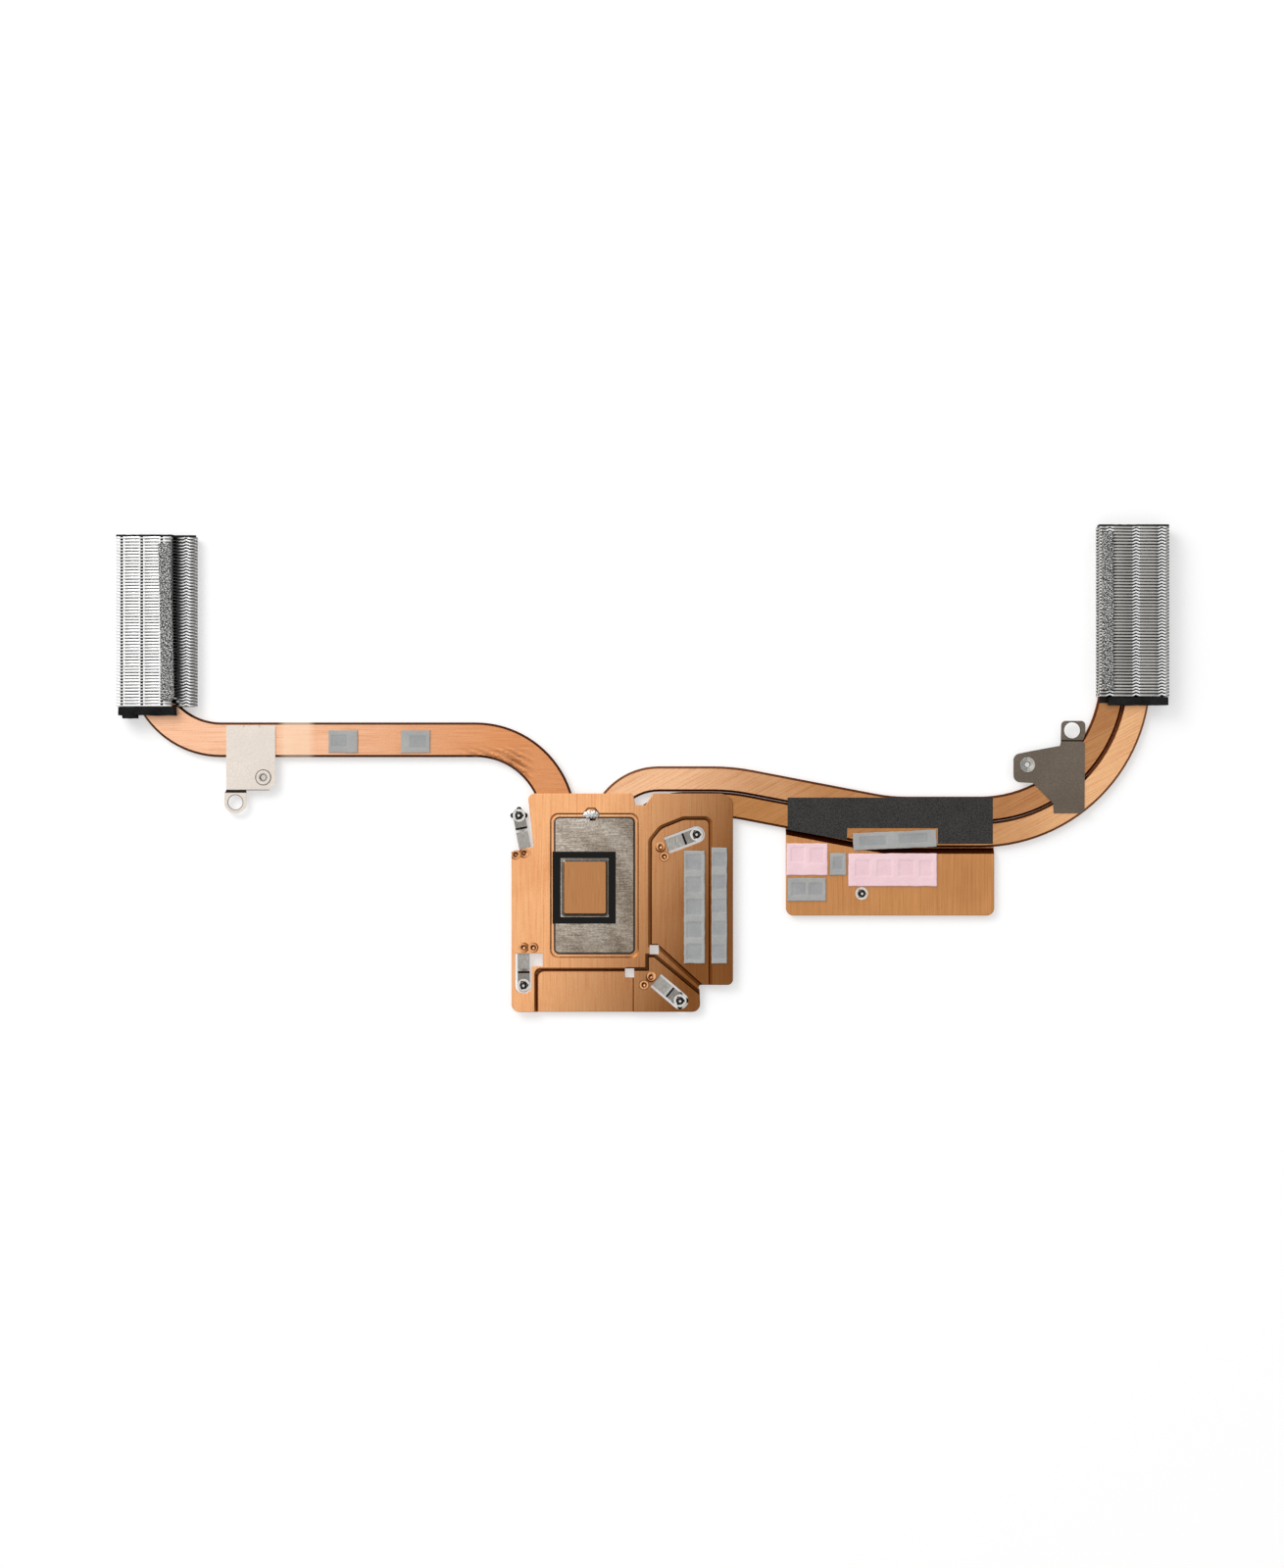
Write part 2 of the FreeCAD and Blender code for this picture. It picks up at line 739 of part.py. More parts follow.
def arm_rivets():
    """Eight short rivets with dimpled heads, two to an arm."""
    stack = size("plate_thickness") + size("arm_thickness")
    height = size("rivet_head_height")
    head = size("rivet_head_radius")
    rivet = revolve("rivet", [
        (0, height - size("rivet_dimple_depth"), 0),
        (size("rivet_dimple_radius"), height, 0),
        (head, height, 0),
        (head, 0, 0),
        (size("rivet_radius"), 0, 0),
        (size("rivet_radius"), -stack, 0),
        (0, -stack, 0),
    ])
    places = []
    for arm in ARMS.values():
        face = arm_root_level(arm) + size("plate_thickness")
        places += [(x, y, face) for x, y in rivet_places(arm)]
    return repeat("arm_rivets", rivet, places)


def screw(label, length_alias):
    """A captive screw standing on its head, its neck below the thread, measured from the head's face."""
    radius = size("screw_radius")
    length = size(length_alias)
    chamfer = size("screw_tip_chamfer")
    neck = size("screw_neck_radius")
    shoulder = size("screw_neck_length")
    head = size("screw_head_radius")
    height = size("screw_head_height")
    return revolve(label, [
        (0, length, 0), (radius - chamfer, length, 0), (radius, length - chamfer, 0),
        (radius, shoulder, 0), (neck, shoulder, 0), (neck, 0, 0),
        (head, 0, 0), (head, -height, 0), (0, -height, 0),
    ])


def screw_seat(label):
    """Where an arm's screw head bears: on the arm, or on the clip below it."""
    x, y = screw_place(ARMS[label])
    below = size("clip_thickness") if label in CLIPPED_ARMS else 0
    return x, y, arm_floor() - below


def cpu_screws():
    return repeat("cpu_screws", screw("cpu_screw", "screw_length"), [screw_seat(label) for label in ARMS])


def vrm_screw():
    """The captive screw of the regulator plate."""
    item = screw("vrm_screw", "vrm_screw_length")
    item.setExpression(".Placement.Base.x", "Sizes.vrm_screw_x")
    item.setExpression(".Placement.Base.y", "-Sizes.vrm_screw_y")
    return lift(item, "-Sizes.vrm_drop - Sizes.plate_thickness")


def pattern_round(body, feature, axis_sketch, count):
    pattern = body.newObject("PartDesign::PolarPattern", f"{feature.Name}_round")
    pattern.Originals = [feature]
    pattern.Axis = (axis_sketch, ["N_Axis"])
    pattern.Angle = 360
    pattern.Occurrences = count
    body.Tip = pattern
    return pattern


def pattern_along(body, features, axis_sketch, axis, length, count_alias, reverse=False):
    pattern = body.newObject("PartDesign::LinearPattern", f"{body.Label}_row")
    pattern.Originals = features
    pattern.Direction = (axis_sketch, [axis])
    pattern.Reversed = reverse
    pattern.setExpression("Length", length)
    pattern.setExpression("Occurrences", f"Sizes.{count_alias}")
    body.Tip = pattern
    return pattern


def screw_retainers():
    """Push-on washers with three inner slots, one on every captive screw."""
    washer = add_body("retainer")
    bore = size("screw_neck_radius") + size("retainer_clearance")
    ring = add_sketch(washer, "ring", [circle(0, 0, size("retainer_radius")), circle(0, 0, bore)])
    add_pad(washer, ring, "Sizes.retainer_thickness")
    half = size("retainer_slot_width") / 2
    slot_outline = corner_run(rectangle(0, -half, size("retainer_slot_reach"), half))
    slot_sketch = add_sketch(washer, "slot", slot_outline, offset="Sizes.retainer_thickness")
    pattern_round(washer, add_pocket(washer, slot_sketch), slot_sketch, 3)
    places = [(*screw_place(arm), -size("arm_end_drop")) for arm in ARMS.values()]
    places.append((size("vrm_screw_x"), -size("vrm_screw_y"), -size("vrm_drop")))
    return repeat("screw_retainers", washer, places)


def lobed_clips():
    """Black four-lobed clips between two of the arms and their screw heads."""
    clip = add_body("clip")
    hole = level("screw_hole")
    disc = add_sketch(clip, "disc", [circle(0, 0, size("clip_radius")), circle(0, 0, hole)])
    add_pad(clip, disc, "Sizes.clip_thickness")
    lobe = add_sketch(clip, "lobe", [circle(size("clip_lobe_at"), 0, size("clip_lobe_radius"))])
    pattern_round(clip, add_pad(clip, lobe, "Sizes.clip_thickness"), lobe, 4)
    return repeat("lobed_clips", clip, [screw_seat(label) for label in CLIPPED_ARMS])


def pipe_edge():
    """The outer right pipe's lower edge, corner by corner."""
    return beside(right_pair_corners(), -(level("right_pipe_pitch") + size("right_pipe_width")) / 2)


def vrm_form(label):
    """A block whose upper surface is the regulator plate's face and its fold under the pipes."""
    body = add_body(label)
    depth = 5.0
    left, right = size("vrm_left"), size("vrm_right")
    corner = size("vrm_corner")
    outline = [
        (left, -size("vrm_bottom"), corner), (right, -size("vrm_bottom"), corner),
        (right, size("vrm_flange_top"), 1.0), (left, size("vrm_flange_top"), 1.0),
    ]
    add_pad(body, add_sketch(body, "outline", corner_run(outline), offset=str(-depth)), str(depth))
    start, end = pipe_edge()[2][:2], pipe_edge()[3][:2]
    gap = size("vrm_pipe_gap")
    beyond = 4.0
    slope = (end[1] - start[1]) / (end[0] - start[0])
    under_pipes = [
        (left - beyond, end[1] - gap + slope * (left - beyond - end[0]), 0),
        (end[0], end[1] - gap, 0),
        (right + beyond, end[1] - gap, 0),
        (right + beyond, size("vrm_flange_top") + beyond, 0),
        (left - beyond, size("vrm_flange_top") + beyond, 0),
    ]
    floor = add_sketch(body, "fold_floor", corner_run(under_pipes), offset="-Levels.vrm_fold")
    mouth = add_sketch(body, "fold_mouth", corner_run(inset(under_pipes, -level("vrm_fold"))))
    add_loft(body, "Subtractive", mouth, floor)
    return body


def vrm_plate():
    """Copper regulator plate, folded down and under the two right pipes."""
    form = vrm_form("vrm_plate_form")
    hole = circle(size("vrm_screw_x"), -size("vrm_screw_y"), level("screw_hole"))
    add_pocket(form, add_sketch(form, "screw_hole", [hole]))
    under = lift(vrm_form("vrm_plate_underside"), "-Sizes.plate_thickness")
    return lift(join("Cut", "vrm_plate", form, under), "-Sizes.vrm_drop")


def ribbon(corners, half_width):
    """The strip of ground that a pipe's route covers."""
    left = beside(corners, half_width)
    right = beside(corners, -half_width)
    ends = [
        Part.LineSegment(vector(*left[i][:2]), vector(*right[i][:2]))
        for i in (0, -1)
    ]
    return corner_run(left, closed=False) + corner_run(right, closed=False) + ends


def fin_stack(label, outline, flanges, bottom_alias, route, half_width):
    """A row of folded fins that straddles the pipes, one separate fin a pitch."""
    body = add_body(f"{label}_fins")
    body.AllowCompound = True
    offset = f"-Sizes.{bottom_alias}"
    web = add_pad(body, add_sketch(body, "web", corner_run(outline), "XZ_Plane", offset), "Sizes.fin_web")
    web.Reversed = True
    edges = []
    for rim in flanges:
        edges += corner_run(rim)
    rims = add_sketch(body, "rims", edges, "XZ_Plane", offset)
    folded = add_pad(body, rims, "Sizes.fin_web + Sizes.fin_flange")
    folded.Reversed = True
    pattern_along(
        body, [web, folded], rims, "N_Axis", "(Sizes.fin_count - 1) * Sizes.fin_pitch", "fin_count", True
    )
    channel = extrude(f"{label}_channel", ribbon(route, half_width), "Levels.pipe_crown - Levels.table")
    return lift(join("Cut", label, body, channel), "Levels.table")


def past_the_end(corners):
    """The last bend of a route, run on well past the fins."""
    x, y, _ = corners[-1]
    return [*corners[-3:-1], (x, y + 20.0, 0)]


def left_fin_stack():
    left, step, right = -size("left_stack_left"), -size("left_stack_step"), -size("left_stack_right")
    top = size("fin_height")
    low_top = top - size("left_stack_step_drop")
    skin = size("fin_web")
    outline = [
        (left, 0, 0), (right, 0, 0), (right, low_top, 0), (step, low_top, 0), (step, top, 0), (left, top, 0)
    ]
    flanges = [
        rectangle(left, 0, right, skin),
        rectangle(left, top - skin, step, top),
        rectangle(step, low_top - skin, right, low_top),
    ]
    half_width = size("left_pipe_width") / 2 + size("fin_pipe_clearance")
    route = past_the_end(left_pipe_corners())
    return fin_stack("left_fin_stack", outline, flanges, "left_stack_bottom", route, half_width)


def right_fin_stack():
    left, right = size("right_stack_left"), size("right_stack_right")
    top = size("fin_height")
    skin = size("fin_web")
    outline = rectangle(left, 0, right, top)
    flanges = [rectangle(left, 0, right, skin), rectangle(left, top - skin, right, top)]
    half_width = (level("right_pipe_pitch") + size("right_pipe_width")) / 2 + size("fin_pipe_clearance")
    route = past_the_end(right_pair_corners())
    return fin_stack("right_fin_stack", outline, flanges, "right_stack_bottom", route, half_width)


def slab(label, left, bottom, width, depth, thickness, seat, tilt=0):
    """A flat soft piece on a seat: its lower left corner, its two sides and a tilt in plan."""
    box = doc.addObject("Part::Box", label)
    box.Label = label
    box.Length = width
    box.Width = depth
    box.setExpression("Height", thickness)
    box.Placement = FreeCAD.Placement(vector(left, bottom), FreeCAD.Rotation(vector(0, 0, 1), tilt))
    return lift(box, seat)


def foams_and_tapes():
    """Foam strips on the fins, foam blocks at their lower ends and tapes at their upper ends."""
    margin = size("end_foam_margin")
    foam = size("end_foam_thickness")
    left = -size("left_stack_left") + margin
    strip_left = -size("left_stack_step") - 2.9
    stack_length = level("left_stack_top") - size("left_stack_bottom")
    left_gap, right_gap = size("left_strip_gap"), size("right_strip_gap")
    pieces = [
        slab("left_foam_strip", strip_left, size("left_stack_bottom") + left_gap, size("strip_width"),
             stack_length - 2 * left_gap, "Sizes.strip_thickness", "Levels.stack_face", size("strip_tilt")),
        slab("right_foam_strip", size("right_stack_left") + 0.7, size("right_stack_bottom") + right_gap,
             size("strip_width"), stack_length - 2 * right_gap, "Sizes.strip_thickness", "Levels.stack_face"),
    ]
    height = "Levels.stack_face - Levels.pipe_crown - 0.3"
    body = add_body("left_end_foam")
    right = -size("left_stack_step") + 1.0
    top = size("left_stack_bottom")
    lip = left + 1.3
    outline = [
        (left, top - foam, 0), (lip, top - foam, 0), (lip, top - foam - size("foam_lip_depth"), 0),
        (lip + size("foam_lip_width"), top - foam - size("foam_lip_depth"), 0),
        (lip + size("foam_lip_width"), top - foam, 0), (right, top - foam, 0), (right, top, 0), (left, top, 0),
    ]
    add_pad(body, add_sketch(body, "outline", corner_run(outline)), height)
    pieces.append(lift(body, "Levels.pipe_crown"))
    foam_left = size("right_stack_left") + 3.3
    pieces.append(slab(
        "right_end_foam", foam_left, size("right_stack_bottom") - foam,
        size("right_stack_right") - foam_left, foam, height, "Levels.pipe_crown",
    ))
    pieces += [left_end_tape(), right_end_tape()]
    return pieces


def end_tape(label, outline, stack_top):
    """A tape on the last fin's face, given by its outline in that face's plane, heights from the pipes up."""
    tape = add_body(label)
    plane = add_sketch(tape, "face", corner_run(outline), "XZ_Plane", f"-{stack_top}")
    face = add_pad(tape, plane, "Sizes.tape_thickness")
    face.Reversed = True
    return lift(tape, "Levels.pipe_crown")


def left_end_tape():
    left, step, right = -size("left_stack_left"), -size("left_stack_step"), -size("left_stack_right")
    top = level("stack_face") - level("pipe_crown")
    low_top = top - size("left_stack_step_drop")
    outline = [
        (left, 0, 0), (right, 0, 0), (right, low_top, 0), (step, low_top, 0), (step, top, 0), (left, top, 0)
    ]
    return end_tape("left_end_tape", outline, "Levels.left_stack_top")


def right_end_tape():
    top = level("stack_face") - level("pipe_crown")
    outline = rectangle(size("right_stack_left"), 0, size("right_stack_right"), top)
    return end_tape("right_end_tape", outline, "Levels.right_stack_top")


def bracket(label, ring, angle, outline, holes, fold_at, drop_alias):
    """A flat steel bracket on the pipes whose ringed tab is set down a little."""
    def own(x, y):
        return turned(x - ring[0], y - ring[1], -angle)

    corners = [(*own(x, y), radius) for x, y, radius in outline]
    plan = corner_run(corners)
    for x, y, radius in holes:
        plan.append(circle(*own(x, y), radius))
    along = [corner[0] for corner in corners]
    drop = size(drop_alias)
    fold = (fold_at, fold_at + 0.8, drop)
    place = (*ring, level("pipe_crown") - drop)
    span = (min(along) - 1.0, max(along) + 1.0)
    return folded_strip(label, plan, span, fold, "bracket_thickness", place, angle)


LEFT_RING = (-110.8, 27.0)
LEFT_NUT = (-101.9, 34.9)
RIGHT_RING = (154.2, 49.8)
RIGHT_NUT = (140.0, 38.9)


def nut_hole(nut):
    return (*nut, size("nut_shank_radius") + size("nut_clearance"))


def left_bracket():
    ring_x, ring_y = LEFT_RING
    reach = size("left_ring_radius") + size("ring_wall")
    left, right, bottom, top = -113.6, -98.1, 30.8, 51.3
    nick = 0.35
    outline = [
        (ring_x - reach, ring_y - reach, reach * 0.98),
        (ring_x + reach, ring_y - reach, reach * 0.98),
        (ring_x + reach, bottom, 0),
        (right - 2.0, bottom, 0),
        (right, bottom + 2.0, 0),
        (right, top, 0),
        (-103.1 + nick, top, 0),
        (-103.1, top - 2 * nick, 0),
        (-103.1 - nick, top, 0),
        (-108.0 + nick, top, 0),
        (-108.0, top - 2 * nick, 0),
        (-108.0 - nick, top, 0),
        (left, top, 0),
        (left, bottom, 0),
        (ring_x - reach, bottom - 1.0, 0),
    ]
    holes = [(ring_x, ring_y, size("left_ring_radius")), nut_hole(LEFT_NUT)]
    return bracket("left_bracket", LEFT_RING, -90, outline, holes, ring_y - bottom, "left_tab_drop")


def right_bracket():
    ring_x, ring_y = RIGHT_RING
    outline = [
        (148.4, 23.5, 0), (156.7, 23.5, 0), (158.1, 24.5, 0), (158.2, 45.6, 0),
        (157.4, 46.2, 0), (158.4, 48.8, 0), (158.4, 52.8, 1.4), (150.8, 52.8, 1.4), (150.6, 46.0, 0),
        (150.3, 44.9, 0), (145.8, 44.1, 0), (141.0, 43.2, 0), (135.6, 42.1, 2.2),
        (135.6, 33.4, 2.2), (141.8, 33.1, 1.0), (148.2, 26.6, 0),
    ]
    holes = [(ring_x, ring_y, size("right_ring_radius")), nut_hole(RIGHT_NUT)]
    return bracket("right_bracket", RIGHT_RING, 90, outline, holes, 46.2 - ring_y, "right_tab_drop")


def bracket_nut(label, place):
    """A press nut: a low flange on the bracket and a bored shank through it."""
    rise = size("nut_rise")
    bore = size("nut_bore")
    shank = size("nut_shank_radius")
    flange = size("nut_radius")
    nut = revolve(label, [
        (bore, rise, 0), (flange, rise, 0), (flange, 0, 0), (shank, 0, 0),
        (shank, -size("nut_depth"), 0), (bore, -size("nut_depth"), 0),
    ])
    nut.Placement = FreeCAD.Placement(vector(*place), FreeCAD.Rotation())
    return lift(nut, "Levels.bracket_face")


def imprinted_pad(label, left, bottom, width, length, seat):
    """A long thermal pad with a row of square imprints left by the parts that it cooled."""
    pad = add_body(label)
    outline = corner_run(rectangle(0, 0, width, length))
    add_pad(pad, add_sketch(pad, "outline", outline), "Sizes.pad_thickness")
    imprint = size("imprint_size")
    side = (width - imprint) / 2
    row = (size("imprint_count") - 1) * size("imprint_pitch") + imprint
    first = (length - row) / 2
    square = corner_run(rectangle(side, first, side + imprint, first + imprint))
    mark = add_sketch(pad, "imprint", square, offset="Sizes.pad_thickness")
    pattern_along(
        pad, [add_pocket(pad, mark, "Sizes.imprint_depth")], mark, "V_Axis",
        "(Sizes.imprint_count - 1) * Sizes.imprint_pitch", "imprint_count",
    )
    pad.Placement = FreeCAD.Placement(vector(left, bottom), FreeCAD.Rotation())
    return lift(pad, seat)


def thermal_pads():
    """Every soft pad: on the base plate, on the pipes and on the regulator plate."""
    pieces = [
        imprinted_pad("inner_choke_pad", 31.2, -24.1, 6.8, 35.9, "Levels.plate_face - Sizes.regulator_dip"),
        imprinted_pad("outer_choke_pad", 39.9, -24.1, 5.1, 36.9, "Levels.plate_face"),
        slab("left_pipe_pad_outer", -81.3, 42.6, 9.4, 7.3, "Sizes.thin_pad_thickness", "Levels.pipe_crown"),
        slab("left_pipe_pad_inner", -58.4, 42.6, 9.4, 7.3, "Sizes.thin_pad_thickness", "Levels.pipe_crown"),
        slab("notch_pad", 84.9, 11.7, 26.6, 5.6, "Sizes.thin_pad_thickness", "Levels.pipe_crown", 2.5),
    ]
    on_plate = {
        "pink_square_pad": (63.7, 3.8, 13.2, 10.3),
        "pink_wide_pad": (83.3, 0.3, 28.2, 10.6),
        "gray_small_pad": (77.4, 3.8, 5.4, 7.3),
        "gray_corner_pad": (64.0, -4.4, 12.4, 7.6),
    }
    for label, (left, bottom, width, depth) in on_plate.items():
        pieces.append(slab(label, left, bottom, width, depth, "Sizes.pad_thickness", "-Sizes.vrm_drop"))
    return pieces


def pipe_cover_film():
    """Thin black film on the two right pipes, cut out where a pad meets the bare pipe."""
    body = add_body("pipe_cover_film")
    left = size("vrm_left") + 0.5
    right = size("vrm_right") - 0.5
    outline = [
        (left, 18.35, 0), (82.9, 15.0, 0), (83.0, 18.8, 0), (111.7, 18.8, 0), (111.7, 13.8, 0),
        (right, 13.8, 0), (right, 28.5, 0), (left, 28.5, 0),
    ]
    add_pad(body, add_sketch(body, "outline", corner_run(outline)), "Sizes.film_thickness")
    return lift(body, "Levels.pipe_crown")


def solder_bead():
    """The bead that closes the block's solder port, on the coined rim."""
    body = add_body("solder_bead")
    half_length = size("solder_length") / 2
    width = size("solder_width")
    foot = rectangle(-half_length, 0, half_length, width, width * 0.25)
    crest = inset(foot, width * 0.2)
    add_loft(
        body, "Additive",
        add_sketch(body, "foot", corner_run(foot)),
        add_sketch(body, "crest", corner_run(crest), offset="Sizes.solder_height"),
    )
    body.setExpression(".Placement.Base.x", "Sizes.block_notch_at")
    body.setExpression(".Placement.Base.y", "Sizes.block_top + Sizes.window_gap + 0.2")
    return lift(body, "Levels.rim_face")


def build():
    pieces = [
        base_plate(), cpu_block(), contact_gasket(), solder_bead(),
        arm_rivets(), cpu_screws(), vrm_screw(), screw_retainers(), lobed_clips(),
        heat_pipe("left_heatpipe", left_pipe_corners(), "left_pipe_width"),
        heat_pipe("right_inner_heatpipe", right_pipe_corners(1), "right_pipe_width"),
        heat_pipe("right_outer_heatpipe", right_pipe_corners(-1), "right_pipe_width"),
        left_fin_stack(), right_fin_stack(),
        left_bracket(), right_bracket(),
        bracket_nut("left_bracket_nut", LEFT_NUT), bracket_nut("right_bracket_nut", RIGHT_NUT),
        vrm_plate(), pipe_cover_film(),
    ]
    pieces += [spring_arm(label) for label in ARMS]
    pieces += foams_and_tapes()
    pieces += thermal_pads()
    return pieces


def check_and_write(pieces):
    """Stops at any failed object or bad shape, then writes one file a piece."""
    doc.recompute()
    for item in doc.Objects:
        if "Invalid" in item.State or "Error" in item.State:
            raise RuntimeError(f"{item.Name} failed: {item.State}")
    os.makedirs("parts", exist_ok=True)
    for piece in pieces:
        shape = piece.Shape
        if shape.isNull() or not shape.isValid() or not shape.Solids:
            raise RuntimeError(f"{piece.Label} has no valid solid")
    for piece in pieces:
        piece.Shape.exportStep(f"parts/{piece.Label}.step")
        print(piece.Label, len(piece.Shape.Solids), round(piece.Shape.Volume, 2))


check_and_write(build())
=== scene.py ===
"""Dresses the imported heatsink: metals, fins, screws, pads and foams, under soft studio light."""
import math
import random

import bpy
import bmesh
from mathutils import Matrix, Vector, noise


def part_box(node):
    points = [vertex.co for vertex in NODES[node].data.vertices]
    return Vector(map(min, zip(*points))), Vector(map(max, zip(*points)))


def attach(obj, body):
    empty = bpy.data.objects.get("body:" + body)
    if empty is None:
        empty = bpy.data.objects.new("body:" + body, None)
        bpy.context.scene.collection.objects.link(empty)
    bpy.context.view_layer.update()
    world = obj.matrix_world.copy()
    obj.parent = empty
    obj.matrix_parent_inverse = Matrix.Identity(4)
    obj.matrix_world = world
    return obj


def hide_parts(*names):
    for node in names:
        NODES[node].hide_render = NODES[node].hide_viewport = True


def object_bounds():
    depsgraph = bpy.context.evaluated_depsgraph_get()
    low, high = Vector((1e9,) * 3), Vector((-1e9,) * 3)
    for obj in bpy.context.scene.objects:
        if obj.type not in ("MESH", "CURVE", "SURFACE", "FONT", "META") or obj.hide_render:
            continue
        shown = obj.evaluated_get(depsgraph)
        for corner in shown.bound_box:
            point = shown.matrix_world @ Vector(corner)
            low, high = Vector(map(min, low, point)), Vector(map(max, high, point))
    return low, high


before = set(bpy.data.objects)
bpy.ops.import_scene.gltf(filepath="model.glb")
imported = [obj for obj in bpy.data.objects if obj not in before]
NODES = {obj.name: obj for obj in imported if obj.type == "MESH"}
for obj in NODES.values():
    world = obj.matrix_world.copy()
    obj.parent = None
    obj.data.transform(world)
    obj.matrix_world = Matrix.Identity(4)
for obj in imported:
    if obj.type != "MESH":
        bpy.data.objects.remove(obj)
cad_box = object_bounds()
MM = 0.001
rng = random.Random(7)


# Camera, lights and floor

WHITE = (1.0, 1.0, 1.0, 1.0)
TOWARDS_LIGHT = (-0.46, 0.46, 0.76)
SKY_DARK, SKY_BRIGHT = 0.04, 1.12
FLOOR_GREY = 0.66
FLOOR_GLOW = 0.42
MIDDLE = (0.02, 0.03, 0.0)


def add_node(tree, kind, operation=None, **inputs):
    """A shader node with its named inputs set."""
    item = tree.nodes.new(kind)
    if operation:
        item.operation = operation
    for key, value in inputs.items():
        item.inputs[key.replace("_", " ")].default_value = value
    return item


def add_object(name, data):
    item = bpy.data.objects.new(name, data)
    bpy.context.scene.collection.objects.link(item)
    return item


def make_camera():
    camera = add_object("camera", bpy.data.cameras.new("camera"))
    camera.location = (0.0180, 0.0328, 1.0)
    camera.data.sensor_fit = "VERTICAL"
    camera.data.sensor_height = 36.0
    camera.data.lens = 72.6
    bpy.context.scene.camera = camera


def make_lamp(name, place, side, power):
    data = bpy.data.lights.new(name, "AREA")
    data.size = side
    data.energy = power
    lamp = add_object(name, data)
    lamp.location = place
    lamp.rotation_euler = (Vector(MIDDLE) - Vector(place)).to_track_quat("-Z", "Y").to_euler()


def make_world():
    """Plain white to the camera; to the object, a soft sky that is brightest at the upper left."""
    world = bpy.data.worlds.new("studio")
    bpy.context.scene.world = world
    world.use_nodes = True
    tree = world.node_tree
    tree.nodes.clear()
    link = tree.links.new
    place = add_node(tree, "ShaderNodeTexCoord")
    toward = add_node(tree, "ShaderNodeVectorMath", "DOT_PRODUCT")
    toward.inputs[1].default_value = Vector(TOWARDS_LIGHT).normalized()
    fade = add_node(tree, "ShaderNodeMapRange", From_Min=-0.15, From_Max=1.0, To_Min=SKY_DARK,
                    To_Max=SKY_BRIGHT)
    sky = add_node(tree, "ShaderNodeBackground", Color=WHITE)
    seen = add_node(tree, "ShaderNodeBackground", Color=WHITE, Strength=1.0)
    path = add_node(tree, "ShaderNodeLightPath")
    either = add_node(tree, "ShaderNodeMixShader")
    out = add_node(tree, "ShaderNodeOutputWorld")
    link(place.outputs["Generated"], toward.inputs[0])
    link(toward.outputs["Value"], fade.inputs["Value"])
    link(fade.outputs[0], sky.inputs["Strength"])
    link(path.outputs["Is Camera Ray"], either.inputs[0])
    link(sky.outputs[0], either.inputs[1])
    link(seen.outputs[0], either.inputs[2])
    link(either.outputs[0], out.inputs["Surface"])


def make_floor():
    """A white floor at the table's level that keeps the object's shadow."""
    table = cad_box[0][2]
    half = 3.0
    mesh = bpy.data.meshes.new("floor")
    corners = [(-half, -half, table), (half, -half, table), (half, half, table), (-half, half, table)]
    mesh.from_pydata(corners, [], [(0, 1, 2, 3)])
    floor = add_object("floor", mesh)
    material = bpy.data.materials.new("floor_white")
    material.use_nodes = True
    tree = material.node_tree
    tree.nodes.clear()
    link = tree.links.new
    matte = add_node(tree, "ShaderNodeBsdfDiffuse", Color=(FLOOR_GREY, FLOOR_GREY, FLOOR_GREY, 1.0))
    glow = add_node(tree, "ShaderNodeEmission")
    path = add_node(tree, "ShaderNodeLightPath")
    rays = path.outputs["Is Camera Ray"]
    for kind in ("Is Glossy Ray", "Is Transmission Ray"):
        total = add_node(tree, "ShaderNodeMath", "ADD")
        link(rays, total.inputs[0])
        link(path.outputs[kind], total.inputs[1])
        rays = total.outputs[0]
    share = add_node(tree, "ShaderNodeMath", "MULTIPLY")
    share.inputs[1].default_value = FLOOR_GLOW
    both = add_node(tree, "ShaderNodeAddShader")
    out = add_node(tree, "ShaderNodeOutputMaterial")
    link(rays, share.inputs[0])
    link(share.outputs[0], glow.inputs["Strength"])
    link(matte.outputs[0], both.inputs[0])
    link(glow.outputs[0], both.inputs[1])
    link(both.outputs[0], out.inputs["Surface"])
    mesh.materials.append(material)


# Materials

def srgb(red, green, blue):
    """A colour as it is read on screen, 0 to 255, turned into the shader's linear values.

    Every look gives its colours as read on screen.
    """
    linear = []
    for channel in (red, green, blue):
        value = channel / 255
        linear.append(value / 12.92 if value <= 0.04045 else ((value + 0.055) / 1.055) ** 2.4)
    return (*linear, 1.0)


